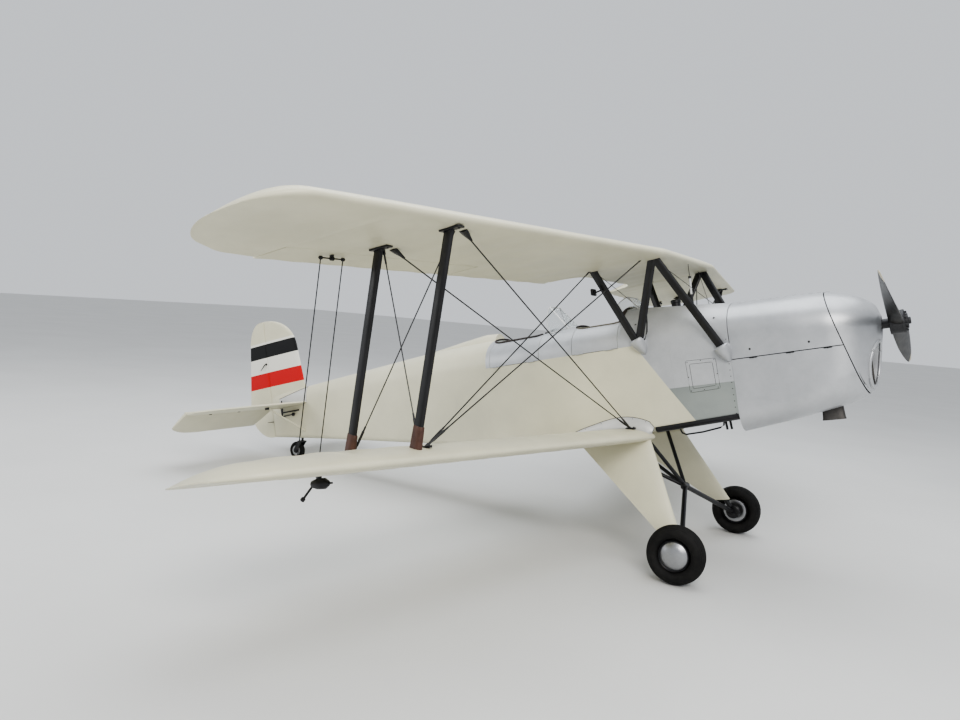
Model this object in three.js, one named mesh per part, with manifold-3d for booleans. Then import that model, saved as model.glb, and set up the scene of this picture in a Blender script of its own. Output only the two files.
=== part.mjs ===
// A two-seat open-cockpit training biplane, parked on its main wheels and its tail wheel.
// Units are millimetres, with +X to the nose, +Y to port and +Z up.
// The airframe is drawn level, from the propeller hub, and is then pitched nose-up as it parks.

import * as THREE from 'three';
import { mergeVertices } from 'three/addons/utils/BufferGeometryUtils.js';
import Module from 'manifold-3d';

const wasm = await Module();
wasm.setup();

const rad = THREE.MathUtils.degToRad;
const V = (x, y, z) => new THREE.Vector3(x, y, z);

// Driving dimensions
const PARKED_PITCH = rad(13.6);
const FIT = 0.3;                  // gap between pieces that touch
const CLEARANCE = 5;              // gap round a piece that moves
const ORIGIN_BEHIND_AXLE = 2031;  // the frame's origin, on the ground below the middle of the box

const HALF_SPAN = 3800;
const CHORD = 1000;
const INCIDENCE = rad(2.4);
const THICKNESS = 0.12;
const CAMBER = 0.04;
const FRONT_SPAR = 0.11;          // chord fractions
const REAR_SPAR = 0.587;
const AILERON_HINGE = 0.765;
const AILERON = { inner: 1700, outer: 3160, nose: 26 };
const TIP = { nose: 3600, tail: 3250 };         // stations where the tip's curves start
const UPPER = { le: V(-1307, 450, 707), back: 0.1802, rise: 0.023 };
const LOWER = { le: V(-1720, 450, -609), back: 0.1697, rise: 0.0663 };
const CENTRE_HALF = 640;          // half width of the upper centre section
const CUTOUT_CHORD = 720;
const BAY = 2698;                 // station of the interplane struts
const WIRE_BAY = 2600;
const WIRE_RADIUS = 4;

const FUSELAGE_SIDE = 370;
const FIREWALL_X = -1060;
const FOOTWELL_X = -1500;
const COCKPIT_END_X = -3160;
const STERN_X = -6143;
const WALL = 20;
const COWL_WALL = 6;
const LONGERON_Z = 90;

const AXLE = V(-1500, 850, -1400);
const WHEEL_SIDES = 24;
const TYRE = { radius: 206, halfWidth: 75, bead: 104 };
const HUB_HEIGHT = TYRE.radius - AXLE.x * Math.sin(PARKED_PITCH) - AXLE.z * Math.cos(PARKED_PITCH);
const GROUND_HUB_X = -AXLE.x * Math.cos(PARKED_PITCH) + AXLE.z * Math.sin(PARKED_PITCH);
const TAIL_WHEEL = { radius: 95, halfWidth: 27, x: -4465, pivotX: -4400 };

const PROPELLER = { radius: 1000, lean: rad(74) };
const RUDDER_HINGE_X = -6170;
const SURFACE_NOSE = 20;          // nose radius of rudder and elevator
const TAIL = { z: 45, leading: -5550, hinge: -5930, trailing: -6300, halfSpan: 1330 };
const ELEVATOR_DROOP = rad(28);

const PIN = { radius: 4, eye: 9, hole: 4.9, lug: 16, slot: 26, sides: 8 };

// Materials
const finish = (color, roughness, metalness) =>
  new THREE.MeshStandardMaterial({ color, roughness, metalness });
const CREAM = finish(0xd3d0b8, 0.5, 0);
const SILVER = finish(0xb4b8bd, 0.4, 0.4);
const BLACK = finish(0x17181a, 0.45, 0.1);
const RUBBER = finish(0x141414, 0.85, 0);
const ALUMINIUM = finish(0xc4c6c8, 0.35, 0.9);
const IRON = finish(0x5a5c5e, 0.55, 0.6);
const GLASS = finish(0xdfe8ea, 0.05, 0);
const LEATHER = finish(0x3a2a1e, 0.7, 0);

// Solids

/** Closed solid from a geometry whose faces share their corners. */
function solidOf(geometry) {
  const bare = geometry.clone();
  bare.deleteAttribute('normal');
  bare.deleteAttribute('uv');
  const merged = mergeVertices(bare, 1e-3);
  return new wasm.Manifold(new wasm.Mesh({
    numProp: 3,
    vertProperties: new Float32Array(merged.attributes.position.array),
    triVerts: new Uint32Array(merged.index.array),
  }));
}

/** Skin over a row of rings with the same number of points, closed at both ends. */
function loft(rings) {
  const n = rings[0].length;
  const points = rings.flat();
  const index = [];
  for (let r = 0; r + 1 < rings.length; r += 1) {
    for (let i = 0; i < n; i += 1) {
      const a = r * n + i;
      const b = r * n + (i + 1) % n;
      index.push(a, b, a + n, b, b + n, a + n);
    }
  }
  for (const [first, flip] of [[0, true], [(rings.length - 1) * n, false]]) {
    // an end is closed by strips between its upper and its lower points
    for (let i = 0, j = n - 1; i + 1 < j; i += 1, j -= 1) {
      const quad = [[i, i + 1, j], [i + 1, j - 1, j]].filter((t) => new Set(t).size === 3);
      for (const t of quad) index.push(...(flip ? [t[2], t[1], t[0]] : t).map((k) => k + first));
    }
  }
  const geometry = new THREE.BufferGeometry().setFromPoints(points);
  let volume = 0;
  for (let t = 0; t < index.length; t += 3) {
    const [a, b, c] = [points[index[t]], points[index[t + 1]], points[index[t + 2]]];
    volume += a.dot(b.clone().cross(c));
  }
  if (volume < 0) index.reverse();
  geometry.setIndex(index);
  return solidOf(geometry);
}

/** Box between two opposite corners. */
function box(x0, x1, y0, y1, z0, z1) {
  const shape = new THREE.BoxGeometry(Math.abs(x1 - x0), Math.abs(y1 - y0), Math.abs(z1 - z0));
  shape.translate((x0 + x1) / 2, (y0 + y1) / 2, (z0 + z1) / 2);
  return solidOf(shape);
}

/** Box in its own axes: along, across and up, each given as [low, high] from a point. */
function turnedBox(at, along, across, [a0, a1], [b0, b1], [c0, c1]) {
  const up = along.clone().cross(across);
  const shape = new THREE.BoxGeometry(a1 - a0, b1 - b0, c1 - c0);
  shape.translate((a0 + a1) / 2, (b0 + b1) / 2, (c0 + c1) / 2);
  shape.applyMatrix4(new THREE.Matrix4().makeBasis(along, across, up).setPosition(at));
  return solidOf(shape);
}

/** Round bar between two points. */
function bar(a, b, radius, sides = 12, endRadius = radius) {
  const axis = b.clone().sub(a);
  const shape = new THREE.CylinderGeometry(endRadius, radius, axis.length(), sides);
  const turn = new THREE.Quaternion().setFromUnitVectors(V(0, 1, 0), axis.clone().normalize());
  shape.applyQuaternion(turn);
  shape.translate(...a.clone().add(b).multiplyScalar(0.5).toArray());
  return solidOf(shape);
}

/** Streamlined bar: chord runs fore and aft, square to the bar. */
function fairedBar(a, b, chord, thick, endChord = chord, endThick = thick) {
  const axis = b.clone().sub(a).normalize();
  const across = V(1, 0, 0).cross(axis).normalize();
  const fore = axis.clone().cross(across).normalize();
  const outline = [[-0.5, 0.1], [-0.15, 0.36], [0.15, 0.5], [0.38, 0.36], [0.5, 0],
    [0.38, -0.36], [0.15, -0.5], [-0.15, -0.36], [-0.5, -0.1]];
  const ring = (at, c, t) => outline.map(([u, v]) =>
    at.clone().addScaledVector(fore, -u * c).addScaledVector(across, v * t));
  return loft([ring(a, -chord, thick), ring(b, -endChord, endThick)]);
}

const join = (...solids) => solids.reduce((sum, s) => sum.add(s));
const mirrorY = (solid) => solid.mirror([0, 1, 0]);
const onSide = (solid, side) => (side > 0 ? solid : mirrorY(solid));

/** The piece as a mesh of the scene. */
function piece(name, solid, material) {
  const { vertProperties, triVerts } = solid.getMesh();
  const geometry = new THREE.BufferGeometry();
  geometry.setAttribute('position', new THREE.BufferAttribute(new Float32Array(vertProperties), 3));
  geometry.setIndex(new THREE.BufferAttribute(new Uint32Array(triVerts), 1));
  geometry.computeVertexNormals();
  const mesh = new THREE.Mesh(geometry, material);
  mesh.name = name;
  return mesh;
}

/** A pin on the moving piece turns in the eye of a lug on the fixed one, in a slot that reaches behind the pin. */
function pinned(moving, fixed, at, along, toFixed, reach, behind = PIN.eye + CLEARANCE) {
  const half = (w) => [-w / 2, w / 2];
  const slot = turnedBox(at, along, toFixed, half(PIN.slot), [-behind, 60], [-60, 60]);
  const ends = (w) => [at.clone().addScaledVector(along, -w / 2), at.clone().addScaledVector(along, w / 2)];
  const pin = bar(...ends(PIN.slot + 12), PIN.radius, PIN.sides);
  const eye = bar(...ends(PIN.lug), PIN.eye, PIN.sides);
  const hole = bar(...ends(PIN.lug + 4), PIN.hole, PIN.sides);
  const arm = turnedBox(at, along, toFixed, half(PIN.lug), [0, reach], [-5, 5]);
  const lug = join(eye, arm).subtract(hole);
  return [join(moving.subtract(slot), pin), join(fixed, lug)];
}

// Wings

/** Heights of the aerofoil's two faces, as fractions of the chord. */
function aerofoil(c) {
  const form = 0.2969 * Math.sqrt(c) - 0.126 * c - 0.3516 * c ** 2 + 0.2843 * c ** 3 - 0.1036 * c ** 4;
  const half = Math.max(5 * THICKNESS * form, 0.003);
  const peak = 0.4;
  const mean = c < peak
    ? CAMBER / peak ** 2 * (2 * peak * c - c ** 2)
    : CAMBER / (1 - peak) ** 2 * (1 - 2 * peak + 2 * peak * c - c ** 2);
  return { top: mean + half, bottom: mean - half, mean };
}

const CHORD_STEPS = [1, 0.7, 0.45, 0.22, 0.08, 0.02];

/** Point of a wing, on the port side: station y, chord fraction c, height up from the chord line. */
function onWing(wing, y, c, height = 0) {
  const out = y - wing.le.y;
  return V(
    wing.le.x - wing.back * out - c * CHORD * Math.cos(INCIDENCE) - height * Math.sin(INCIDENCE),
    y,
    wing.le.z + wing.rise * out - c * CHORD * Math.sin(INCIDENCE) + height * Math.cos(INCIDENCE),
  );
}

/** Ring of the aerofoil between two chord fractions. */
function rib(wing, y, from, to, fullness, grow) {
  const length = to - from;
  const place = (c, face) => {
    const edge = c === 1 ? grow : 0;
    return onWing(wing, y, from + c * length + edge / CHORD,
      aerofoil(c)[face] * fullness * CHORD + (face === 'top' ? grow : -grow));
  };
  const nose = onWing(wing, y, from - grow / CHORD, 0);
  return [
    ...CHORD_STEPS.map((c) => place(c, 'top')),
    nose,
    ...CHORD_STEPS.toReversed().map((c) => place(c, 'bottom')),
  ];
}

/** Leading and trailing edge of the wing's outline at a station, as chord fractions. */
function edges(y) {
  const nose = Math.max(0, (y - TIP.nose) / (HALF_SPAN - TIP.nose));
  const tail = Math.max(0, (y - TIP.tail) / (HALF_SPAN - TIP.tail));
  const bend = (s) => 1 - Math.sqrt(Math.max(0, 1 - s * s));
  const step = y > AILERON.outer ? 0.03 : 0;
  return [0.3 * bend(nose), 1 - step - 0.06 * tail - 0.49 * bend(tail)];
}

/** Whole wing panel of the port side, with its aileron still part of it. */
function wingPanel(wing, root, grow = 0) {
  const stations = [root, AILERON.outer, AILERON.outer + 1, 3400, 3570, 3670, 3735, 3778, 3797];
  return loft(stations.map((y, i) => {
    const [from, to] = edges(y);
    const end = i === stations.length - 1 ? grow : 0;
    return rib(wing, y + end, from, to, to - from, grow);
  }));
}

/** Upper centre section, cut out behind for the view from the rear seat. */
function centreSection(grow = 0) {
  // station, chord left at that station
  const outline = [[640, 960], [605, 850], [550, 765], [470, CUTOUT_CHORD]];
  const level = { le: V(onWing(UPPER, CENTRE_HALF, 0).x, 0, onWing(UPPER, CENTRE_HALF, 0).z), back: 0, rise: 0 };
  const rings = [...outline, ...outline.toReversed().map(([y, c]) => [-y, c])];
  return loft(rings.map(([y, c]) => rib(level, y, 0, c / CHORD, 0.97, grow)));
}

/** Hinge line of an aileron, on the port side. */
function aileronHinge(wing) {
  const height = aerofoil(AILERON_HINGE).mean * CHORD;
  const at = (y) => onWing(wing, y, AILERON_HINGE, height);
  const along = at(3000).sub(at(2000)).normalize();
  const toRear = V(-1, 0, 0).addScaledVector(along, along.x).normalize();
  return { at, along, toRear };
}

/** Wing panel and aileron, parted at the hinge line and pinned at two stations. */
function wingAndAileron(wing, root) {
  const whole = wingPanel(wing, root);
  const { at, along, toRear } = aileronHinge(wing);
  const { inner, outer, nose } = AILERON;
  const endGap = 2 * CLEARANCE;
  const behind = turnedBox(at(2400), along, toRear, [-1500, 1500], [0, 400], [-200, 200]);
  const strip = (a, b) => box(-4000, 0, a, b, -2000, 2000);
  const nosed = (radius) => bar(at(1500), at(3400), radius, 12);
  const pocket = join(behind, nosed(nose + CLEARANCE + 1.2)).intersect(strip(inner, outer));
  const flap = join(whole.intersect(behind), nosed(nose)).intersect(strip(inner + endGap, outer - endGap));
  let fixed = whole.subtract(pocket);
  let moving = flap;
  for (const y of [inner + 160, outer - 120]) {
    [moving, fixed] = pinned(moving, fixed, at(y), along, toRear.clone().negate(), nose + CLEARANCE + 20);
  }
  return { fixed, moving };
}

// Aileron link: two parallel rods between the upper and the lower aileron, on a cross pin at each end.
// Each end has its chord fraction, and the hole that the pin has in the aileron's ear. The lower hole is wide,
// because the two ears move a few millimetres apart as the ailerons turn.
const LINK = {
  upper: { chord: 0.825, hole: 5 }, lower: { chord: 0.795, hole: 11 },
  inner: 2730, outer: 2880, drop: 16, rod: 7, pin: 4, ear: 24, half: 15,
};

const linkEnd = (wing) => (wing === UPPER ? { ...LINK.upper, face: 'bottom', out: -1 }
  : { ...LINK.lower, face: 'top', out: 1 });

function linkEye(wing) {
  const { chord, face, out } = linkEnd(wing);
  return (y) => onWing(wing, y, chord, aerofoil(chord)[face] * CHORD + out * LINK.drop);
}

/** Ear on an aileron for the link's cross pin. */
function linkEar(wing) {
  const { along, toRear } = aileronHinge(wing);
  const { hole, out } = linkEnd(wing);
  const { half, drop, ear } = LINK;
  const eye = linkEye(wing)((LINK.inner + LINK.outer) / 2);
  const up = out < 0 ? [-half, drop + 8] : [-drop - 8, half];
  const plate = turnedBox(eye, along, toRear, [-ear / 2, ear / 2], [-half, half], up);
  const bore = bar(eye.clone().addScaledVector(along, -30), eye.clone().addScaledVector(along, 30), hole, PIN.sides);
  return plate.subtract(bore);
}

function aileronLink() {
  const top = linkEye(UPPER);
  const foot = linkEye(LOWER);
  const rods = [LINK.inner, LINK.outer].map((y) => bar(top(y), foot(y), LINK.rod, 6));
  const pins = [top, foot].map((eye) => bar(eye(LINK.inner - 10), eye(LINK.outer + 10), LINK.pin, PIN.sides));
  return join(...rods, ...pins);
}

// Fuselage

// station x, half width, top of the deck, shoulder, bottom
const FRAMES = [
  [-1060, 368, 320, 70, -537],
  [-1700, 370, 338, LONGERON_Z, -580],
  [-2200, 370, 345, LONGERON_Z, -615],
  [-2750, 370, 345, LONGERON_Z, -618],
  [-3160, 348, 350, LONGERON_Z, -592],
  [-3880, 275, 335, 85, -515],
  [-5180, 135, 243, 70, -381],
  [STERN_X, 26, 170, 60, -292],
];

/** Body ring: an arched deck over flat sides that meet in a slight ridge, and rounded lower corners. */
function bodyRing(x, halfWidth, top, shoulder, bottom, { deckPower = 2.3, keel = 45, keelPower = 2, ridge = 8 } = {}) {
  const deck = [0, 20, 40, 58, 76].map((t) => {
    const s = Math.sin(rad(t)) ** (2 / deckPower);
    const c = Math.cos(rad(t)) ** (2 / deckPower);
    return [halfWidth * s, shoulder + (top - shoulder) * c];
  });
  const kx = Math.min(keel, halfWidth * 0.8);
  const corner = [0, 30, 60, 90].map((t) => {
    const s = Math.sin(rad(t)) ** (2 / keelPower);
    const c = Math.cos(rad(t)) ** (2 / keelPower);
    return [halfWidth - kx + kx * c, bottom + keel - keel * s];
  });
  const middle = (shoulder + bottom) / 2;
  const half = [...deck, [halfWidth, shoulder], [halfWidth + ridge, middle], ...corner];
  const port = half.map(([y, z]) => V(x, y, z));
  const starboard = half.slice(1).toReversed().map(([y, z]) => V(x, -y, z));
  return [...port, ...starboard];
}

/** Value of a frame between two of the table's stations. */
function frameAt(x) {
  const next = Math.max(1, FRAMES.findIndex(([fx]) => fx <= x));
  const [a, b] = [FRAMES[next - 1], FRAMES[next]];
  const t = (x - a[0]) / (b[0] - a[0]);
  return a.map((v, i) => v + (b[i] - v) * t);
}

/** Fuselage between two stations, set in by a wall or grown by a negative one. */
function fuselage(from, to, inset = 0) {
  const stations = [from, ...FRAMES.map(([x]) => x).filter((x) => x < from && x > to), to];
  return loft(stations.map((x) => {
    const [, w, top, shoulder, bottom] = frameAt(x);
    const ridge = x < -3200 ? 4 : 8;
    return bodyRing(x, w - inset, top - inset, shoulder, bottom + inset, { ridge });
  }));
}

// Raised deck between the engine and the front cockpit, and the height of its crest at both ends
const RAISED = { from: -1060, to: -1876, low: 321, high: 415 };

/** Part of the raised deck between two stations, set in by a wall or grown by a negative one. */
function raisedDeck(from, to, inset = 0) {
  const slope = (RAISED.high - RAISED.low) / (RAISED.to - RAISED.from);
  const stations = [from, -1700, to].filter((x) => x <= from && x >= to);
  const arches = stations.map((x) => {
    const [, w, , shoulder, bottom] = frameAt(x);
    return bodyRing(x, w - inset, RAISED.low + slope * (x - RAISED.from) - inset, shoulder, bottom + inset);
  });
  return loft(arches).intersect(box(from, to, -500, 500, LONGERON_Z + 20, 600));
}

// Pods that fair the feet of the cabane struts, on the port side: x and z of the foot
const PODS = [[-1729, 78], [-1108, -30]];

function pod([x, z], grow = 0) {
  const y = FUSELAGE_SIDE + 6;
  return bar(V(x - 6, y - 8, z - 110 - grow), V(x, y + 14, z + 30 + grow), 10 + grow, 10, 42 + grow);
}

function fuselageGrown() {
  const pods = PODS.flatMap((p) => [pod(p, FIT), mirrorY(pod(p, FIT))]);
  return join(fuselage(-1061, STERN_X, -FIT), raisedDeck(-1061, RAISED.to - FIT, -FIT), ...pods);
}

// Cockpits: opening from front to rear, and the door's ends
const COCKPITS = {
  front: { from: -1880, to: -2330, door: [-1905, -2305] },
  rear: { from: -2580, to: -3125, door: [-2605, -3100] },
};
const OPENING_HALF = 235;
const DOOR_HINGE_Z = LONGERON_Z + 2;
const DOOR_HINGE_OUT = 10;        // from the fuselage side to the pins
const DOOR_SLOT = 24;

function cockpitOpening({ from, to }) {
  const r = 110;
  const shape = new THREE.Shape();
  shape.moveTo(from - r, -OPENING_HALF);
  shape.absarc(to + r, -OPENING_HALF + r, r, -Math.PI / 2, -Math.PI, true);
  shape.absarc(to + r, OPENING_HALF - r, r, Math.PI, Math.PI / 2, true);
  shape.absarc(from - r, OPENING_HALF - r, r, Math.PI / 2, 0, true);
  shape.absarc(from - r, -OPENING_HALF + r, r, 0, -Math.PI / 2, true);
  const cut = new THREE.ExtrudeGeometry(shape, { depth: 500, bevelEnabled: false, curveSegments: 4 });
  return solidOf(cut);
}

/** Cockpit section of the fuselage and its four doors, port ones first. */
function cockpitSection() {
  const outside = join(fuselage(FOOTWELL_X - FIT, COCKPIT_END_X), raisedDeck(FOOTWELL_X - FIT, RAISED.to));
  const inside = join(fuselage(FOOTWELL_X - WALL, COCKPIT_END_X + WALL, WALL),
    raisedDeck(FOOTWELL_X - WALL, COCKPITS.front.from - 1, WALL));
  const boards = [raisedDeck(-1866, -1874, WALL - 5), fuselage(-1866, -1874, WALL - 5),
    fuselage(-2566, -2574, WALL - 5)];
  const panels = boards.map((board) => board.intersect(box(-1800, -2600, -500, 500, 30, 450)));
  const cuts = Object.values(COCKPITS).map(cockpitOpening);
  const skin = outside.subtract(inside).subtract(join(...cuts));
  let tub = join(skin, ...panels, pod(PODS[0]), mirrorY(pod(PODS[0])));
  const doors = {};
  for (const [name, { door: [front, back] }] of Object.entries(COCKPITS)) {
    for (const side of [1, -1]) {
      const notch = onSide(box(front, back, OPENING_HALF - 60, 500, LONGERON_Z, 500), side);
      const blank = onSide(box(front - CLEARANCE, back + CLEARANCE, OPENING_HALF - 60, 500,
        LONGERON_Z + CLEARANCE, 500), side);
      let door = skin.intersect(blank);
      tub = tub.subtract(notch);
      const stations = [front - 70, back + 70];
      const hinge = stations.map((x) => V(x, side * (frameAt(x)[1] + DOOR_HINGE_OUT), DOOR_HINGE_Z));
      const along = hinge[0].clone().sub(hinge[1]).normalize();
      for (const at of hinge) {
        const { x } = at;
        const out = Math.abs(at.y);
        const skinSide = out - DOOR_HINGE_OUT - 6;
        const ears = onSide(box(x - 22, x + 22, skinSide, out + 5, LONGERON_Z + CLEARANCE, LONGERON_Z + 22), side);
        const cheeks = onSide(box(x - 22, x + 22, out - 6, out + 6, DOOR_HINGE_Z - 6, LONGERON_Z + 12), side);
        door = join(door, ears, cheeks);
        [door, tub] = pinned(door, tub, at, along, V(0, 0, -1), 28, DOOR_SLOT);
        tub = tub.add(onSide(box(x - PIN.lug / 2, x + PIN.lug / 2, skinSide, out + 5, 62, 76), side));
      }
      doors[`${name}${side > 0 ? '_l' : '_r'}`] = door;
    }
  }
  return { tub, doors, room: fuselage(FOOTWELL_X - WALL - FIT, COCKPIT_END_X + WALL + FIT, WALL + FIT) };
}

/** Bucket seat on two side frames that stand on the cockpit floor. */
function seat(backX, room) {
  const front = backX + 340;
  const shape = join(
    box(backX, front, -190, 190, -262, -250),
    box(backX, backX + 12, -190, 190, -262, 200),
    box(backX, front - 60, -190, -178, -262, -90),
    box(backX, front - 60, 178, 190, -262, -90),
    box(backX + 40, front - 60, -150, -140, -700, -255),
    box(backX + 40, front - 60, 140, 150, -700, -255),
    box(backX + 140, backX + 152, -150, 150, -420, -255),
  );
  return shape.intersect(room);
}

/** Windscreen of three flat facets that lean back, standing on the deck. */
function windscreen(frontX, topZ, deck) {
  // y, distance behind the front facet
  const plan = [[-215, 150], [-125, 0], [125, 0], [215, 150]];
  const lean = 0.75;
  const thick = 5;
  const ring = (z) => [
    ...plan.map(([y, back]) => V(frontX - back * 0.9 - lean * (z - 340), y * (1 - (z - 340) / 1100), z)),
    ...plan.toReversed().map(([y, back]) =>
      V(frontX - thick - back * 0.9 - lean * (z - 340), (y - Math.sign(y) * thick) * (1 - (z - 340) / 1100), z)),
  ];
  return loft([ring(200), ring(topZ)]).subtract(deck);
}

function rearFuselage() {
  const body = fuselage(COCKPIT_END_X - FIT, STERN_X);
  // fairing behind the pilot's head: x, half width, top
  const rest = [[COCKPIT_END_X - FIT, 105, 405], [-3290, 100, 414], [-3560, 60, 385], [-4050, 12, 322]];
  const fairing = loft(rest.map(([x, half, top]) => {
    const arch = [90, 60, 30, 0].map((t) => [half * Math.cos(rad(t)), 280 + (top - 280) * Math.sin(rad(t))]);
    const rim = [...arch, [half, 200]];
    return [...rim.map(([y, z]) => V(x, y, z)), ...rim.slice(1).toReversed().map(([y, z]) => V(x, -y, z))];
  }));
  const bore = bar(V(TAIL.hinge, -300, TAIL.z), V(TAIL.hinge, 300, TAIL.z), 19, 16);
  return join(body, fairing).subtract(bore);
}

// Cowling: station x, half width, top, shoulder, bottom, lower corner, deck power, keel power
const COWL = [
  [FIREWALL_X, 370, 320, 70, -643, 150, 2.3, 2],
  [-700, 368, 303, 40, -588, 160, 2.3, 2],
  [-425, 352, 286, 10, -536, 190, 2.3, 2],
  [-330, 332, 265, -10, -515, 200, 2.3, 2],
  [-232, 290, 228, -30, -492, 200, 2.2, 2],
  [-160, 232, 178, -50, -468, 190, 2.2, 2],
  [-115, 172, 130, -70, -438, 170, 2.1, 2],
  [-94, 105, 62, -90, -376, 130, 2, 2],
];
const CHIN = { from: -330, lean: 0.2 };         // the nose leans back below the propeller

function cowlVolume(inset, from = FIREWALL_X) {
  return loft(COWL.map(([x, w, top, shoulder, bottom, keel, deckPower, keelPower], i) => {
    const share = Math.max(0, (x - CHIN.from) / (-94 - CHIN.from));
    const ring = bodyRing(i === 0 ? from : Math.min(x, -94 - inset * (i === COWL.length - 1 ? 1 : 0.6)),
      w - inset, top - inset, shoulder, bottom + inset, { keel, deckPower, keelPower, ridge: 2 });
    return ring.map((p) => V(p.x + CHIN.lean * share * Math.min(0, p.z), p.y, p.z));
  }));
}

const SEAM = { x: -345, slope: -0.26 };         // nose seam: x falls by the slope as z rises
const DOOR_EDGE_Z = -110;
const SPINE_HALF = 20;
const SPINE_HINGE = { y: 30, z: 326, end: 292 };

/** Everything ahead of the slanted nose seam, moved back by a distance. */
function aheadOfSeam(shift) {
  const up = V(-SEAM.slope, 0, -1).normalize().negate();
  const ahead = V(0, 1, 0).cross(up).normalize();
  return turnedBox(V(SEAM.x + shift, 0, 0), ahead, V(0, 1, 0), [0, 2000], [-900, 900], [-1500, 1500]);
}

function cowling() {
  const skin = cowlVolume(0).subtract(cowlVolume(COWL_WALL, FIREWALL_X - 50));
  const behindWall = box(FIREWALL_X + FIT, 0, -900, 900, -900, 900);
  const cowl = skin.intersect(behindWall);
  const nose = aheadOfSeam(0);
  const hole = bar(V(-400, 0, 0), V(100, 0, 0), 62, 16);
  const mouth = new THREE.Shape();
  mouth.absellipse(0, 0, 106, 156, 0, 2 * Math.PI);
  const cut = new THREE.ExtrudeGeometry(mouth, { depth: 400, bevelEnabled: false, curveSegments: 10 });
  cut.applyMatrix4(new THREE.Matrix4().makeBasis(V(0, 1, 0), V(0, 0, 1), V(1, 0, 0)).setPosition(-330, -118, -268));
  const intake = solidOf(cut);
  const spine = cowl.intersect(box(FIREWALL_X, 0, -SPINE_HALF, SPINE_HALF, 0, 500));
  let bowl = join(cowl.intersect(nose), spine).subtract(hole).subtract(intake);
  const low = box(FIREWALL_X, 0, -900, 900, -900, DOOR_EDGE_Z - CLEARANCE);
  const stub = exhaustDuct(8, -300, -800);
  const lower = cowl.subtract(aheadOfSeam(-FIT)).intersect(low).subtract(stub);
  const doors = {};
  for (const side of [1, -1]) {
    const reach = onSide(box(FIREWALL_X + CLEARANCE, 0, SPINE_HALF + CLEARANCE, 900, DOOR_EDGE_Z, 900), side);
    let door = cowl.subtract(aheadOfSeam(-CLEARANCE)).intersect(reach);
    const start = V(FIREWALL_X, side * SPINE_HINGE.y, SPINE_HINGE.z);
    const along = V(-425, side * SPINE_HINGE.y, SPINE_HINGE.end).sub(start).normalize();
    for (const distance of [80, 540]) {
      const at = start.clone().addScaledVector(along, distance);
      const across = V(0, side, 0);
      const ears = turnedBox(at, along, across, [-22, 22], [-5, 24], side > 0 ? [-14, 6] : [-6, 14]);
      const foot = turnedBox(at, along, across, [-PIN.lug / 2, PIN.lug / 2], [-16, -4], side > 0 ? [-16, 5] : [-5, 16]);
      door = join(door, ears);
      [door, bowl] = pinned(door, bowl, at, along, across.clone().negate(), 12);
      bowl = bowl.add(foot);
    }
    doors[side > 0 ? 'l' : 'r'] = door;
  }
  return { bowl, lower, doors };
}

/** In-line engine as one block, with its bearers back to the firewall. */
function engineBlock() {
  const bearers = [-1, 1].map((s) =>
    box(FIREWALL_X + FIT, -300, s * 150 - 20, s * 150 + 20, -60, -10));
  return join(
    box(-930, -270, -130, 130, -400, 70),
    bar(V(-275, 0, 0), V(-160, 0, 0), 80, 16),
    box(-930, -270, -170, 170, -60, -10),
    ...bearers,
  );
}

/** Flattened duct below the engine, wider at its mouth. */
function exhaustDuct(grow, top, bottom) {
  const ring = (z) => Array.from({ length: 16 }, (_, k) => {
    const t = 2 * Math.PI * k / 16;
    const wide = 62 + 0.06 * (-400 - z) + grow;
    const round = (v) => Math.sign(v) * Math.abs(v) ** 0.6;
    return V(-475 + wide * round(Math.cos(t)), -100 + (32 + grow) * round(Math.sin(t)), z);
  });
  return loft([ring(top), ring(bottom)]);
}

/** Two-bladed wooden propeller with its hub and the shaft back to the engine. */
function propeller() {
  const up = V(0, -Math.sin(PROPELLER.lean), Math.cos(PROPELLER.lean));
  const side = V(1, 0, 0).cross(up);
  // radius, chord, thickness, pitch in degrees
  const sections = [[0, 110, 88, 60], [110, 112, 70, 52], [260, 140, 42, 40], [480, 158, 28, 30],
    [720, 142, 19, 23], [880, 108, 13, 19], [965, 66, 9, 17], [998, 26, 6, 17]];
  const outline = [[-0.5, 0], [-0.25, 0.42], [0.1, 0.5], [0.38, 0.28], [0.5, 0], [0.38, -0.2], [0.1, -0.3], [-0.25, -0.2]];
  const blade = (sign) => loft(sections.map(([r, chord, thick, pitch]) => {
    const chordDir = side.clone().multiplyScalar(Math.cos(rad(pitch)) * sign)
      .addScaledVector(V(1, 0, 0), Math.sin(rad(pitch)));
    const radial = up.clone().multiplyScalar(sign);
    const thickDir = chordDir.clone().cross(radial);
    return outline.map(([u, v]) => radial.clone().multiplyScalar(r)
      .addScaledVector(chordDir, u * chord).addScaledVector(thickDir, v * thick));
  }));
  return join(
    blade(1), blade(-1),
    bar(V(-50, 0, 0), V(48, 0, 0), 82, 16),
    bar(V(40, 0, 0), V(66, 0, 0), 52, 12),
    bar(V(60, 0, 0), V(82, 0, 0), 24, 8),
    bar(V(-160 + FIT, 0, 0), V(-40, 0, 0), 34, 12),
  );
}

// Struts and wires of the port side

function cabane(keepOut) {
  const rear = V(-1925, 620, 700);
  const front = V(-1448, 620, 720);
  const [footA, footB] = PODS.map(([x, z]) => V(x, FUSELAGE_SIDE + 18, z + 10));
  return join(
    fairedBar(footA, rear, 62, 26), fairedBar(footA, front, 62, 26), fairedBar(footB, front, 62, 26),
  ).subtract(keepOut);
}

function interplane(spar, keepOut) {
  const thick = (face) => aerofoil(spar)[face] * CHORD;
  const top = onWing(UPPER, BAY, spar, thick('bottom') + 25);
  const foot = onWing(LOWER, BAY, spar, thick('top') - 25);
  return fairedBar(foot, top, 62, 26).subtract(keepOut);
}

const FLYING_ROOT = { y: 425, chord: 0.15 };

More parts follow.
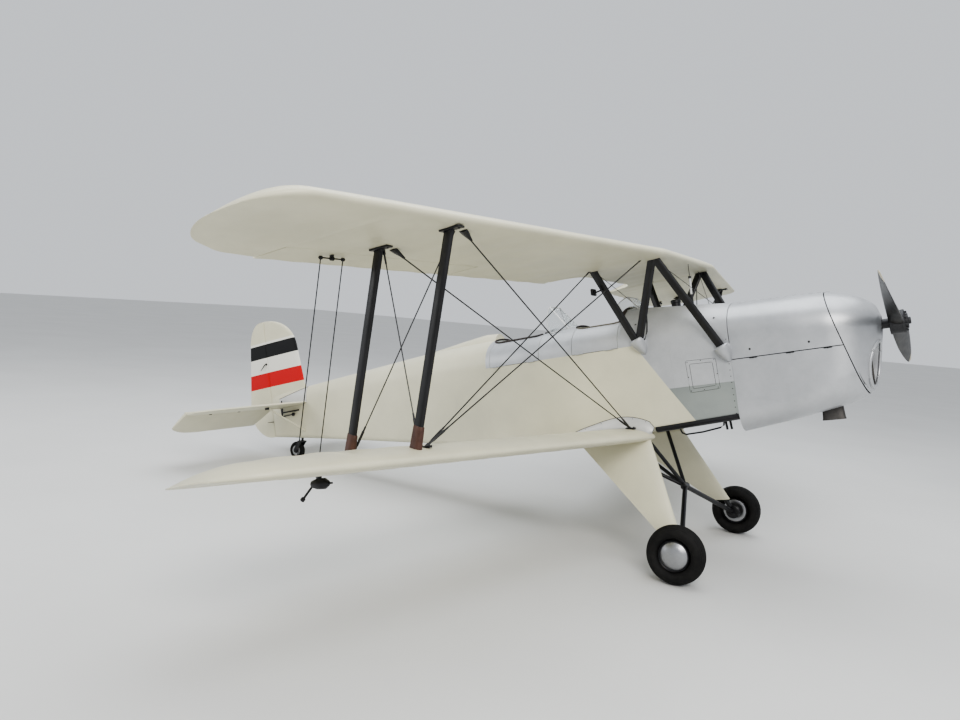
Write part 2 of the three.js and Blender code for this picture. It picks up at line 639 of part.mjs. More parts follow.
function flyingWires(keepOut) {
  const root = onWing(LOWER, FLYING_ROOT.y, FLYING_ROOT.chord, aerofoil(FLYING_ROOT.chord).top * CHORD + 14);
  const wires = [FRONT_SPAR, REAR_SPAR].map((spar) =>
    bar(root, onWing(UPPER, WIRE_BAY, spar, aerofoil(spar).bottom * CHORD + 15), WIRE_RADIUS, 6));
  const lug = box(root.x - 22, root.x + 22, root.y - 16, root.y + 30, root.z - 40, root.z + 9);
  return join(lug, ...wires).subtract(keepOut);
}

function landingWires(keepOut) {
  const foot = onWing(LOWER, WIRE_BAY + 20, FRONT_SPAR, aerofoil(FRONT_SPAR).top * CHORD + 14);
  const tops = [V(-1448 - 50, 650, 715), V(-1925, 650, 700)];
  const lug = box(foot.x - 20, foot.x + 20, foot.y - 28, foot.y + 18, foot.z - 40, foot.z + 9);
  return join(lug, ...tops.map((t) => bar(foot, t, WIRE_RADIUS, 6))).subtract(keepOut);
}

// Tail

/** Whole horizontal tail surface of the port side. */
function tailSurface() {
  const rings = [0, 950, 1120, 1230, 1295, TAIL.halfSpan].map((y) => {
    const s = Math.max(0, (y - 950) / (TAIL.halfSpan + 4 - 950));
    const bend = 1 - Math.sqrt(1 - s * s);
    const front = TAIL.leading - 0.06 * y - 250 * bend;
    const back = TAIL.trailing + 190 * bend;
    const half = 24 - 16 * bend;
    const at = (f) => back + (front - back) * f;
    // fraction of the chord from the trailing edge, fraction of the half thickness
    const face = [[0, 0.15], [0.55, 1], [0.85, 0.8], [0.97, 0.4]];
    return [
      ...face.map(([f, t]) => V(at(f), y, TAIL.z + half * t)),
      V(front, y, TAIL.z),
      ...face.toReversed().map(([f, t]) => V(at(f), y, TAIL.z - half * t)),
    ];
  });
  return loft(rings);
}

function horizontalTail(keepOut) {
  const whole = tailSurface();
  const x = TAIL.hinge;
  const nose = SURFACE_NOSE;
  let fixed = whole.intersect(box(x + nose + CLEARANCE, 0, 0, 2000, -200, 300)).subtract(keepOut);
  // the elevator's inner edge leaves room for the rudder
  const inner = new THREE.Shape([[-6500, 230], [-6500, 1600], [x + 40, 1600], [x + 40, 68], [x - 25, 68]]
    .map(([a, b]) => new THREE.Vector2(a, b)));
  const plan = solidOf(new THREE.ExtrudeGeometry(inner, { depth: 200, bevelEnabled: false })).translate([0, 0, -50]);
  const spar = bar(V(x, 68, TAIL.z), V(x, 1240, TAIL.z), nose, 12);
  let moving = join(whole.intersect(box(-7000, x, 0, 2000, -200, 300)).intersect(plan), spar);
  for (const y of [330, 980]) {
    [moving, fixed] = pinned(moving, fixed, V(x, y, TAIL.z), V(0, 1, 0), V(1, 0, 0), nose + CLEARANCE + 20);
  }
  return { fixed, moving };
}

function elevator(half) {
  const tube = bar(V(TAIL.hinge, -80, TAIL.z), V(TAIL.hinge, 80, TAIL.z), 14, 12);
  return join(half, mirrorY(half), tube)
    .translate([-TAIL.hinge, 0, -TAIL.z])
    .rotate([0, -THREE.MathUtils.radToDeg(ELEVATOR_DROOP), 0])
    .translate([TAIL.hinge, 0, TAIL.z]);
}

/** Plate with a given outline in the XZ plane, thinned fore and aft by a wedge table of [x, half width]. */
function wedgePlate(shape, wedge) {
  const plate = new THREE.ExtrudeGeometry(shape, { depth: 120, bevelEnabled: false, curveSegments: 8 });
  plate.applyMatrix4(new THREE.Matrix4().makeBasis(V(1, 0, 0), V(0, 0, 1), V(0, -1, 0)).setPosition(0, 60, 0));
  const outline = [...wedge, ...wedge.toReversed().map(([x, h]) => [x, -h])];
  const limit = new THREE.ExtrudeGeometry(new THREE.Shape(outline.map(([x, h]) => new THREE.Vector2(x, h))),
    { depth: 2500, bevelEnabled: false });
  limit.translate(0, 0, -1200);
  return solidOf(plate).intersect(solidOf(limit));
}

function finAndRudder(rear) {
  const x = RUDDER_HINGE_X;
  const top = 1000;
  const finEdge = x + SURFACE_NOSE + CLEARANCE + 2;
  const finShape = new THREE.Shape();
  finShape.moveTo(finEdge, 100);
  finShape.lineTo(finEdge, top);
  finShape.bezierCurveTo(-5960, 1004, -5735, 900, -5700, 690);
  finShape.lineTo(-5625, 100);
  const rudderShape = new THREE.Shape();
  rudderShape.moveTo(x, -290);
  rudderShape.lineTo(x, top);
  rudderShape.bezierCurveTo(-6290, 1004, -6375, 930, -6405, 760);
  rudderShape.lineTo(-6510, 60);
  rudderShape.bezierCurveTo(-6545, -90, -6400, -275, -6225, -290);
  let fin = wedgePlate(finShape, [[-5500, 3], [-5760, 17], [-6200, 24]]).subtract(fuselage(-1061, STERN_X, -FIT));
  const nose = bar(V(x, 0, -288), V(x, 0, top - 12), SURFACE_NOSE, 16);
  let rudder = join(wedgePlate(rudderShape, [[-6000, 24], [x - 60, 22], [-6560, 4]]), nose);
  let stern = rear;
  [rudder, fin] = pinned(rudder, fin, V(x, 0, 760), V(0, 0, 1), V(1, 0, 0), SURFACE_NOSE + CLEARANCE + 20);
  [rudder, stern] = pinned(rudder, stern, V(x, 0, -170), V(0, 0, 1), V(1, 0, 0), SURFACE_NOSE + CLEARANCE + 20);
  return { fin, rudder, stern };
}

function tailStrut(keepOut) {
  return fairedBar(V(-5700, 520, TAIL.z), V(-5640, 60, -270), 34, 15).subtract(keepOut);
}

// Undercarriage, in the level frame

/** Faired leg of the port side: a wide streamlined trouser from the wing root to the wheel. */
function gearLeg(keepOut) {
  // x of the nose, x of the tail, y, z, thickness
  const rows = [[-1735, -2330, 396, -612, 66], [-1523, -1690, 700, -1225, 70]];
  const rings = rows.map(([front, back, y, z, thick]) => {
    const at = (f) => front + (back - front) * f;
    const profile = [[0, 0], [0.06, 0.5], [0.3, 1], [0.65, 0.6], [1, 0.08]];
    return [
      ...profile.map(([f, t]) => V(at(f), y + thick / 2 * t, z)),
      ...profile.slice(1).toReversed().map(([f, t]) => V(at(f), y - thick / 2 * t, z)),
    ];
  });
  const shank = bar(V(-1600, 696, -1150), V(-1522, 706, AXLE.z + 50), 24, 10);
  return join(loft(rings), shank).subtract(keepOut);
}

const GEAR_APEX = V(-1646, 0, -1053);
const DRUM = { radius: 78, inner: 722, outer: 756 };

/** Central pyramid of tubes, half axles and brake drums. */
function axleFrame(keepOut, grow) {
  const half = join(
    bar(GEAR_APEX, V(-1840, 300, -560), 15, 8),
    bar(GEAR_APEX, V(-2300, 300, -590), 15, 8),
    bar(GEAR_APEX, V(AXLE.x, 735, AXLE.z), 19 + grow, 8),
    bar(V(AXLE.x, 730 - grow, AXLE.z), V(AXLE.x, 896, AXLE.z), 17 + grow, 12),
    bar(V(AXLE.x, DRUM.inner - grow, AXLE.z), V(AXLE.x, DRUM.outer + grow, AXLE.z), DRUM.radius + grow, 16),
  );
  const knuckle = box(GEAR_APEX.x - 34, GEAR_APEX.x + 34, -34, 34, GEAR_APEX.z - 26, GEAR_APEX.z + 30);
  return join(knuckle, half, mirrorY(half)).subtract(keepOut);
}

/** Ring or disc turned about the Y axis from a list of [radius, y]. */
function turned(profile, segments) {
  const points = profile.map(([r, y]) => new THREE.Vector2(r, y));
  const solid = solidOf(new THREE.LatheGeometry(points, segments));
  return solid.volume() > 0 ? solid : turned(profile.toReversed(), segments);
}

function tyreRing({ radius, halfWidth, bead }, segments, steps) {
  const points = [];
  const middle = (radius + bead) / 2;
  for (let i = 0; i < steps; i += 1) {
    const t = 2 * Math.PI * i / steps;
    points.push([middle + (radius - bead) / 2 * Math.cos(t), halfWidth * Math.sin(t)]);
  }
  return turned([...points, points[0]], segments);
}

function wheelDisc() {
  const bead = TYRE.bead - FIT;
  return turned([[0, 74], [45, 69], [90, 42], [bead, 42], [bead, -42], [84, -30],
    [50, -22], [50, -50], [17.5, -50], [17.5, 52], [0, 52]], WHEEL_SIDES);
}

/** Tail wheel: solid tyre and hub in one. */
function tailWheel() {
  const { radius, halfWidth } = TAIL_WHEEL;
  return turned([[8.5, -24], [30, -24], [34, -18], [58, -18], [64, -halfWidth], [radius, -12],
    [radius, 12], [64, halfWidth], [58, 18], [34, 18], [30, 24], [8.5, 24], [8.5, -24]], 16);
}

/** Swivelling fork of the tail wheel, drawn on the ground frame. */
function tailFork() {
  const { x, pivotX, radius, halfWidth } = TAIL_WHEEL;
  const side = halfWidth + 9;
  const crown = radius * 2 + 8;
  const cheek = (s) => {
    const shape = new THREE.Shape([[pivotX + 26, crown + 12], [pivotX - 34, crown + 12], [x - 18, radius - 14],
      [x + 18, radius - 14]].map(([a, b]) => new THREE.Vector2(a, b)));
    const plate = new THREE.ExtrudeGeometry(shape, { depth: 7, bevelEnabled: false });
    plate.applyMatrix4(new THREE.Matrix4().makeBasis(V(1, 0, 0), V(0, 0, 1), V(0, -1, 0))
      .setPosition(0, s * side + 3.5, 0));
    return solidOf(plate);
  };
  return join(
    cheek(1), cheek(-1),
    box(pivotX - 34, pivotX + 26, -side, side, crown, crown + 12),
    bar(V(pivotX, 0, crown + 6), V(pivotX, 0, crown + 44), 13, 16),
    bar(V(x, -side, radius), V(x, side, radius), 8, 12),
  );
}

/** Point of the level frame that lies at a place of the ground frame. */
function levelFromGround(x, z) {
  const dz = z - HUB_HEIGHT;
  const dx = x - GROUND_HUB_X;
  return V(dx * Math.cos(PARKED_PITCH) + dz * Math.sin(PARKED_PITCH), 0,
    -dx * Math.sin(PARKED_PITCH) + dz * Math.cos(PARKED_PITCH));
}

/** Socket under the stern in which the fork's spindle turns. */
function tailSocket() {
  const { radius, pivotX } = TAIL_WHEEL;
  const low = radius * 2 + 8 + 12 + CLEARANCE;
  const a = levelFromGround(pivotX, low);
  const b = levelFromGround(pivotX, low + 70);
  return { block: bar(a, b, 30, 14), hole: bar(levelFromGround(pivotX, low - 5), levelFromGround(pivotX, low + 30), 14, 16) };
}

// Assembly
const level = new THREE.Group();
level.rotation.y = -PARKED_PITCH;
level.position.set(GROUND_HUB_X + ORIGIN_BEHIND_AXLE, 0, HUB_HEIGHT);
const place = (name, solid, material) => level.add(piece(name, solid, material));

const cockpit = cockpitSection();
const socket = tailSocket();
const tail = finAndRudder(join(rearFuselage(), socket.block).subtract(socket.hole));
const cowl = cowling();
const body = fuselageGrown();

const firewallToFootwell = join(fuselage(FIREWALL_X, FOOTWELL_X), raisedDeck(FIREWALL_X, FOOTWELL_X));
place('forward_fuselage', join(firewallToFootwell, pod(PODS[1]), mirrorY(pod(PODS[1]))), SILVER);
place('cockpit_tub', cockpit.tub, SILVER);
place('rear_fuselage', tail.stern, CREAM);
place('engine_block', engineBlock(), IRON);
place('nose_bowl', cowl.bowl, SILVER);
place('lower_cowl', cowl.lower, SILVER);
place('exhaust_stub', exhaustDuct(0, -400 - FIT, -625), IRON);
place('propeller', propeller(), BLACK);
place('fin', tail.fin, CREAM);
place('rudder', tail.rudder, CREAM);
place('seat_front', seat(-2310, cockpit.room), LEATHER);
place('seat_rear', seat(-3070, cockpit.room), LEATHER);
place('windscreen_front', windscreen(-1745, 505, body), GLASS);
place('windscreen_rear', windscreen(-2420, 545, body), GLASS);
place('centre_section', centreSection(), CREAM);

const centreGrown = centreSection(FIT);
const upperGrown = wingPanel(UPPER, CENTRE_HALF, FIT);
const lowerGrown = wingPanel(LOWER, FUSELAGE_SIDE - 40, FIT);
const upper = wingAndAileron(UPPER, CENTRE_HALF + FIT);
const lower = wingAndAileron(LOWER, FUSELAGE_SIDE - 20);
const tailHalf = horizontalTail(join(body, fuselage(-5500, STERN_X, -FIT)));
const frame = axleFrame(body, 0);
const axleGrown = axleFrame(body, FIT);

place('axle_frame', frame, BLACK);
place('elevator', elevator(tailHalf.moving), CREAM);

for (const [tag, side] of [['l', 1], ['r', -1]]) {
  const put = (name, solid, material) => place(`${name}_${tag}`, onSide(solid, side), material);
  place(`cowl_door_${tag}`, cowl.doors[tag], SILVER);
  place(`door_front_${tag}`, cockpit.doors[`front_${tag}`], SILVER);
  place(`door_rear_${tag}`, cockpit.doors[`rear_${tag}`], SILVER);
  put('upper_wing', upper.fixed, CREAM);
  put('aileron_upper', upper.moving.add(linkEar(UPPER)), CREAM);
  put('lower_wing', lower.fixed.subtract(body), CREAM);
  put('aileron_lower', lower.moving.add(linkEar(LOWER)), CREAM);
  put('aileron_link', aileronLink(), BLACK);
  put('cabane', cabane(join(body, centreGrown)), BLACK);
  put('strut_front', interplane(FRONT_SPAR, join(upperGrown, lowerGrown)), BLACK);
  put('strut_rear', interplane(REAR_SPAR, join(upperGrown, lowerGrown)), BLACK);
  put('flying_wires', flyingWires(join(body, upperGrown, lowerGrown)), ALUMINIUM);
  put('landing_wires', landingWires(join(centreGrown, upperGrown, lowerGrown)), ALUMINIUM);
  put('tailplane', tailHalf.fixed, CREAM);
  put('tail_strut', tailStrut(join(body, tailSurface())), BLACK);
  put('gear_leg', gearLeg(join(body, lowerGrown, axleGrown)), CREAM);
}

const ground = new THREE.Group();
ground.position.x = ORIGIN_BEHIND_AXLE;
ground.add(piece('tail_fork', tailFork(), BLACK));
const tailTyre = piece('tail_wheel', tailWheel(), RUBBER);
tailTyre.position.set(TAIL_WHEEL.x, 0, TAIL_WHEEL.radius);
ground.add(tailTyre);
for (const [tag, side] of [['l', 1], ['r', -1]]) {
  const tyre = piece(`tyre_${tag}`, onSide(tyreRing(TYRE, WHEEL_SIDES, 8), side), RUBBER);
  const disc = piece(`wheel_${tag}`, onSide(wheelDisc(), side), ALUMINIUM);
  for (const mesh of [tyre, disc]) {
    mesh.position.set(0, side * AXLE.y, TYRE.radius);
    ground.add(mesh);
  }
}

const biplane = new THREE.Group();
biplane.add(level, ground);
export default biplane;
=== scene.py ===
import bpy
import bmesh
import math
from mathutils import Matrix, Vector
from mathutils.bvhtree import BVHTree


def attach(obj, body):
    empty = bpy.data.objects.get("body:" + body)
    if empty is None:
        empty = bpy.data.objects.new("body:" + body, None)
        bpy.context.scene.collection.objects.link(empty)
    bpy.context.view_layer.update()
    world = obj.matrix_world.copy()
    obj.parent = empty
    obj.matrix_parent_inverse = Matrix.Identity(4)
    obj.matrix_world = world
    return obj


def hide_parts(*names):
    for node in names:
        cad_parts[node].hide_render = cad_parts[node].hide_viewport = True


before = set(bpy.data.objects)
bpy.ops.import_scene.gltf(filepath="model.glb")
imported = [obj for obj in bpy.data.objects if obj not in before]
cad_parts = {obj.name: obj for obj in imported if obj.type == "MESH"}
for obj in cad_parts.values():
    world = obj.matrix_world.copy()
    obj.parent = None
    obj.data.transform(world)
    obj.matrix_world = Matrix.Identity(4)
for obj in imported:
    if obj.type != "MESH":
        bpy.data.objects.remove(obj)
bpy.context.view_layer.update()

# The airframe is drawn level, in millimetres from the propeller hub, with +X to the nose and +Y to port.
# level(), mirror() and ground() take such places to the parked frame, in metres.
PITCH = math.radians(13.6)
COS, SIN = math.cos(PITCH), math.sin(PITCH)
HUB = Vector((3.159743, 0.0, 1.919459))
AXLE_X = 2.031
SIDES = (("l", 1), ("r", -1))


def level(x, y, z):
    return Vector((HUB.x + (x * COS - z * SIN) / 1000, y / 1000, HUB.z + (x * SIN + z * COS) / 1000))


def mirror(side, x, y, z):
    return level(x, y * side, z)


def ground(x, y, z):
    return Vector((x / 1000 + AXLE_X, y / 1000, z / 1000))


FORWARD = (level(1, 0, 0) - level(0, 0, 0)).normalized()
UP = (level(0, 0, 1) - level(0, 0, 0)).normalized()
ACROSS = Vector((0, 1, 0))


def lerp(a, b, t):
    return a + (b - a) * t


def circled(count, start=0.0):
    """Angles evenly round a circle."""
    return [2 * math.pi * (k + start) / count for k in range(count)]


def stations(a, b, step):
    count = max(1, round((b - a) / step))
    return [lerp(a, b, k / count) for k in range(count + 1)]


def between(table, x):
    """Row of a table at x, straight between its rows. Their first values fall."""
    for a, b in zip(table, table[1:]):
        if x >= b[0]:
            return [lerp(p, q, (x - a[0]) / (b[0] - a[0])) for p, q in zip(a, b)]
    return list(table[-1])


def smoothed(table, x):
    """Row of a table at x without its first value, which rises. The change is smooth."""
    k = next((i for i in range(len(table) - 1) if x <= table[i + 1][0]), len(table) - 2)
    p0, p1, p2, p3 = table[max(0, k - 1)], table[k], table[k + 1], table[min(len(table) - 1, k + 2)]
    step = p2[0] - p1[0]
    t = (x - p1[0]) / step
    row = []
    for a, b, c, d in list(zip(p0, p1, p2, p3))[1:]:
        m1 = (c - a) / (p2[0] - p0[0]) * step
        m2 = (d - b) / (p3[0] - p1[0]) * step
        row.append((2 * t ** 3 - 3 * t * t + 1) * b + (t ** 3 - 2 * t * t + t) * m1
                   + (3 * t * t - 2 * t ** 3) * c + (t ** 3 - t * t) * m2)
    return row


# ---- materials ----
M = {}


def shade(colour, factor):
    return tuple(c * factor for c in colour)


class Shader:
    """A procedural material on the object's own coordinates, kept in M under its key."""

    def __init__(self, key, name, base, **fixed):
        M[key] = bpy.data.materials.new(name)
        M[key].use_nodes = True
        self.tree = M[key].node_tree
        self.tree.nodes.clear()
        values = {word.replace("_", " "): value for word, value in fixed.items()}
        self.bsdf = self.add("BsdfPrincipled", {"Base Color": base, **values})
        self.add("OutputMaterial", {"Surface": self.bsdf.outputs[0]})
        self.place = self.add("TexCoord").outputs["Object"]

    def add(self, kind, values=(), **settings):
        """A node. Its values are numbers, colours, or sockets to link."""
        node = self.tree.nodes.new("ShaderNode" + kind)
        for key, value in settings.items():
            setattr(node, key, value)
        for key, value in dict(values).items():
            self.put(node.inputs[key], value)
        return node

    def put(self, socket, value):
        if isinstance(value, bpy.types.NodeSocket):
            self.tree.links.new(value, socket)
        else:
            socket.default_value = (*value, 1) if socket.type == "RGBA" else value

    def stretched(self, *scale):
        return self.add("Mapping", {"Scale": scale, "Vector": self.place}).outputs[0]

    def noise(self, scale, detail=3.0, rough=0.5, place=None):
        values = {"Scale": scale, "Detail": detail, "Roughness": rough, "Vector": place or self.place}
        return self.add("TexNoise", values).outputs["Fac"]

    def math(self, operation, a, b=0.0, c=0.0):
        return self.add("Math", {0: a, 1: b, 2: c}, operation=operation).outputs[0]

    def ramp(self, value, *stops):
        """Colour ramp; a stop's colour may be one number for a grey."""
        node = self.add("ValToRGB", {"Fac": value})
        for element, (position, colour) in zip(node.color_ramp.elements, stops):
            element.position = position
            element.color = (colour,) * 3 + (1,) if isinstance(colour, float) else (*colour, 1)
        return node.outputs["Color"]

    def mix(self, fac, a, b):
        return self.add("Mix", data_type="RGBA", values={0: fac, 6: a, 7: b}).outputs[2]

    def colour(self, socket):
        self.put(self.bsdf.inputs["Base Color"], socket)

    def rough(self, value, low, high):
        node = self.add("MapRange", {"Value": value, "To Min": low, "To Max": high})
        self.put(self.bsdf.inputs["Roughness"], node.outputs[0])

    def bump(self, height, distance, strength=0.5):
        """Adds to the bumps that are there."""
        values = {"Distance": distance, "Strength": strength, "Height": height}
        normal = self.bsdf.inputs["Normal"]
        if normal.is_linked:
            values["Normal"] = normal.links[0].from_socket
        self.put(normal, self.add("Bump", values).outputs[0])

    def along(self, vector, offset=0.0):
        """Distance along a direction of the part frame, in metres."""
        node = self.add("VectorMath", {0: self.place, 1: vector}, operation="DOT_PRODUCT")
        return self.math("ADD", node.outputs["Value"], offset)

    def level_x(self):
        return self.along((COS, 0, SIN), -(HUB.x * COS + HUB.z * SIN))

    def level_z(self):
        return self.along((-SIN, 0, COS), HUB.x * SIN - HUB.z * COS)

    def both(self, a, b):
        return self.math("MULTIPLY", a, b)

    def beyond(self, value, limit):
        return self.math("GREATER_THAN", value, limit)

    def below(self, value, limit):
        return self.math("LESS_THAN", value, limit)

    def dope(self):
        return self.ramp(self.noise(1.6, 5, 0.6), (0.3, CREAM_DULL), (0.62, CREAM))

    def fabric(self):
        """Doped weave, faint brush marks and soft grime."""
        self.bump(self.noise(900, 2), 0.0004, 0.25)
        self.bump(self.noise(14, 3), 0.002, 0.12)
        self.rough(self.noise(6, 4), 0.36, 0.52)


CREAM, CREAM_DULL, WHITE = (0.64, 0.615, 0.47), (0.55, 0.53, 0.405), (0.70, 0.69, 0.63)
SILVER, BLACK, RED = (0.50, 0.51, 0.525), (0.004, 0.004, 0.005), (0.50, 0.010, 0.010)

s = Shader("cream", "cream_dope", CREAM, Coat_Weight=0.12, Coat_Roughness=0.3)
grime = s.ramp(s.noise(22, 6, 0.7), (0.66, 0.0), (0.82, 0.35))
s.colour(s.mix(grime, s.dope(), (0.40, 0.385, 0.30)))
s.fabric()

# cream dope with the three bands across the fin and the rudder, which climb a little to the nose
s = Shader("tail", "tail_dope", CREAM, Coat_Weight=0.05, Coat_Roughness=0.3, Specular_IOR_Level=0.25)
height = s.math("ADD", s.level_z(), s.both(s.level_x(), -0.04))
paint = s.dope()
for low, high, tint in ((0.52, 1.02, WHITE), (0.845, 0.995, BLACK), (0.515, 0.678, RED)):
    paint = s.mix(s.both(s.beyond(height, low), s.below(height, high)), paint, tint)
s.colour(paint)
s.fabric()

# silver on the deck and ahead, cream on the sides behind the slanted edge, primer low ahead, black below
EDGE_SLANT, EDGE_PLACE, DECK_LINE, DECK_END = 0.64, -1.712, 0.093, -3.14
PRIMER_LINE, BELLY_LINE, BELLY_END = -0.267, -0.548, -1.68
s = Shader("body", "body_paint", SILVER, Coat_Weight=0.15, Coat_Roughness=0.28)
x, z = s.level_x(), s.level_z()
ahead = s.beyond(s.math("ADD", x, s.both(z, EDGE_SLANT)), EDGE_PLACE)
silver = s.math("MAXIMUM", ahead, s.both(s.beyond(z, DECK_LINE), s.beyond(x, DECK_END)))
metal = s.ramp(s.noise(3.0, 5, 0.65), (0.28, (0.40, 0.41, 0.425)), (0.66, (0.51, 0.52, 0.535)))
primer = s.ramp(s.noise(4.0, 4), (0.3, (0.25, 0.275, 0.265)), (0.7, (0.32, 0.345, 0.33)))
paint = s.mix(silver, s.dope(), metal)
paint = s.mix(s.both(ahead, s.below(z, PRIMER_LINE)), paint, primer)
s.colour(s.mix(s.both(s.below(z, BELLY_LINE), s.beyond(x, BELLY_END)), paint, (0.02, 0.02, 0.022)))
s.put(s.bsdf.inputs["Metallic"], s.both(silver, 0.5))
s.fabric()

for key, name, base, dull, metal in (("silver", "silver_paint", SILVER, (0.39, 0.40, 0.415), 0.55),
                                     ("bright", "pale_fairing", (0.62, 0.62, 0.60), (0.5, 0.5, 0.49), 0.25)):
    s = Shader(key, name, base, Metallic=metal, Coat_Weight=0.15, Coat_Roughness=0.25)
    tone = s.ramp(s.noise(3.0, 5, 0.65), (0.28, dull), (0.66, base))
    stain = s.ramp(s.noise(5, 4, 0.6, s.stretched(0.5, 3, 3)), (0.62, 0.0), (0.85, 0.35))
    s.colour(s.mix(stain, tone, shade(base, 0.62)))
    s.rough(s.noise(9, 4), 0.30, 0.46)
    s.bump(s.noise(5, 3), 0.003, 0.10)
    s.bump(s.noise(700, 2), 0.0002, 0.15)

for key, name, base, low, high in (("black", "black_enamel", (0.006, 0.006, 0.007), 0.30, 0.48),
                                   ("dark", "dark_cockpit", (0.02, 0.02, 0.02), 0.5, 0.7),
                                   ("inside", "cockpit_grey", (0.42, 0.44, 0.42), 0.45, 0.65)):
    s = Shader(key, name, base, Coat_Weight=0.12, Coat_Roughness=0.2, Specular_IOR_Level=0.35)
    worn = s.ramp(s.noise(34, 6, 0.75), (0.72, 0.0), (0.84, 0.4))
    dusty = s.ramp(s.noise(4, 4), (0.35, base), (0.75, shade(base, 2.4)))
    s.colour(s.mix(worn, dusty, (0.075, 0.072, 0.068)))
    s.rough(s.noise(12, 4), low, high)
    s.bump(s.noise(160, 3), 0.0004, 0.2)

# the dark iron also lines the intake's throat, where it stands in for painted shade
for key, name, base, low, high, grain, bump in (
        ("alloy", "brushed_alloy", (0.40, 0.405, 0.42), 0.26, 0.40, 6, 0.0002),
        ("steel", "bracing_steel", (0.075, 0.075, 0.078), 0.4, 0.58, 1, 0.0002),
        ("iron", "engine_iron", (0.12, 0.115, 0.11), 0.5, 0.75, 1, 0.0008)):
    s = Shader(key, name, base, Metallic=1.0)
    s.colour(s.ramp(s.noise(60, 5, 0.7, s.stretched(1, 1, grain)), (0.3, shade(base, 0.78)), (0.7, base)))
    s.rough(s.noise(14, 5, 0.6), low, high)
    s.bump(s.noise(300, 3), bump, 0.3)

for key, name, base, scale in (("leather", "dark_leather", (0.035, 0.026, 0.022), 260),
                               ("saddle", "brown_leather", (0.13, 0.058, 0.030), 260),
                               ("boot", "brown_boot", (0.075, 0.034, 0.024), 180),
                               ("webbing", "webbing", (0.17, 0.15, 0.11), 700)):
    s = Shader(key, name, base, Specular_IOR_Level=0.4)
    grain = s.add("TexVoronoi", {"Scale": scale, "Vector": s.place}, feature="F1").outputs["Distance"]
    s.colour(s.ramp(s.noise(16, 5, 0.65), (0.3, shade(base, 0.6)), (0.72, shade(base, 1.35))))
    s.rough(s.noise(24, 4), 0.42, 0.66)
    s.bump(grain, 0.0008, 0.6)
    s.bump(s.noise(20, 3), 0.003, 0.25)

s = Shader("rubber", "tyre_rubber", (0.01, 0.01, 0.01), Specular_IOR_Level=0.25)
s.colour(s.ramp(s.noise(18, 6, 0.7), (0.35, (0.005, 0.005, 0.005)), (0.8, (0.014, 0.013, 0.012))))
s.rough(s.noise(30, 4), 0.62, 0.85)
s.bump(s.noise(420, 3), 0.0005, 0.4)

# dark lacquer, with pale tips beyond a distance from the hub along the blades
LEAN = math.radians(74)
TIP_PAINT = 0.925
s = Shader("wood", "propeller_lacquer", (0.03, 0.028, 0.026), Coat_Weight=0.15, Coat_Roughness=0.2,
           Specular_IOR_Level=0.35)
values = {"Scale": 5, "Distortion": 5.0, "Vector": s.stretched(3, 3, 1)}
grain = s.add("TexWave", values, bands_direction="Z").outputs["Fac"]
out = s.along((-SIN * math.cos(LEAN), -math.sin(LEAN), COS * math.cos(LEAN)),
              (HUB.x * SIN - HUB.z * COS) * math.cos(LEAN))
lacquer = s.ramp(grain, (0.1, (0.012, 0.012, 0.012)), (0.9, (0.030, 0.028, 0.026)))
s.colour(s.mix(s.beyond(s.math("ABSOLUTE", out), TIP_PAINT), lacquer, (0.55, 0.50, 0.36)))
s.rough(s.noise(20, 4), 0.36, 0.5)
s.bump(grain, 0.0004, 0.2)

s = Shader("glass", "clear_screen", (0.93, 0.97, 0.97), Transmission_Weight=1.0, IOR=1.12, Alpha=0.62)
s.rough(s.noise(24, 5, 0.7), 0.02, 0.10)
s.bump(s.noise(3, 2), 0.001, 0.1)

s = Shader("dial", "dial_face", (0.02, 0.02, 0.02), Roughness=0.3)
s.colour(s.ramp(s.noise(90, 3), (0.4, (0.012, 0.012, 0.012)), (0.7, (0.03, 0.03, 0.03))))
s.bump(s.noise(200, 2), 0.0002, 0.2)

s = Shader("floor", "studio_floor", (0.62, 0.62, 0.61))
s.colour(s.ramp(s.noise(0.6, 4), (0.3, (0.60, 0.60, 0.59)), (0.7, (0.64, 0.64, 0.63))))
s.rough(s.noise(2, 3), 0.55, 0.7)
s.bump(s.noise(40, 3), 0.0005, 0.1)


# ---- meshes ----
WELD = 2e-5


def crease(bm, sharp):
    """Smooth shading except at edges beyond an angle."""
    for face in bm.faces:
        face.smooth = True
    for edge in bm.edges:
        edge.smooth = not (len(edge.link_faces) == 2 and edge.calc_face_angle(0) > math.radians(sharp))


def recrease(obj, sharp, weld=0.0):
    bm = bmesh.new()
    bm.from_mesh(obj.data)
    if weld:
        bmesh.ops.remove_doubles(bm, verts=bm.verts, dist=weld)
    crease(bm, sharp)
    bm.to_mesh(obj.data)
    bm.free()


def raw(name, part, sharp=None):
    """A loose object from vertices and faces, or a list of such parts, with creases if sharp is given."""
    mesh = bpy.data.meshes.new(name)
    verts, faces = merged(part) if isinstance(part, list) else part
    mesh.from_pydata([tuple(v) for v in verts], [], faces)
    bm = bmesh.new()
    bm.from_mesh(mesh)
    bmesh.ops.remove_doubles(bm, verts=bm.verts, dist=WELD)
    if sharp:
        bmesh.ops.dissolve_degenerate(bm, edges=bm.edges, dist=WELD / 2)
    bmesh.ops.recalc_face_normals(bm, faces=bm.faces)
    if sharp:
        crease(bm, sharp)
    bm.to_mesh(mesh)
    bm.free()
    return linked(name, mesh)


def linked(name, mesh):
    obj = bpy.data.objects.new(name, mesh)
    bpy.context.scene.collection.objects.link(obj)
    return obj


def bake(obj, sharp=32):
    """Modifiers become the object's own mesh."""
    graph = bpy.context.evaluated_depsgraph_get()
    mesh = bpy.data.meshes.new_from_object(obj.evaluated_get(graph))
    obj.modifiers.clear()
    obj.data = mesh
    if sharp:
        recrease(obj, sharp)
    return obj


def modified(obj, kind, sharp=32, **settings):
    modifier = obj.modifiers.new(kind, kind)
    for key, value in settings.items():
        setattr(modifier, key, value)
    return bake(obj, sharp)


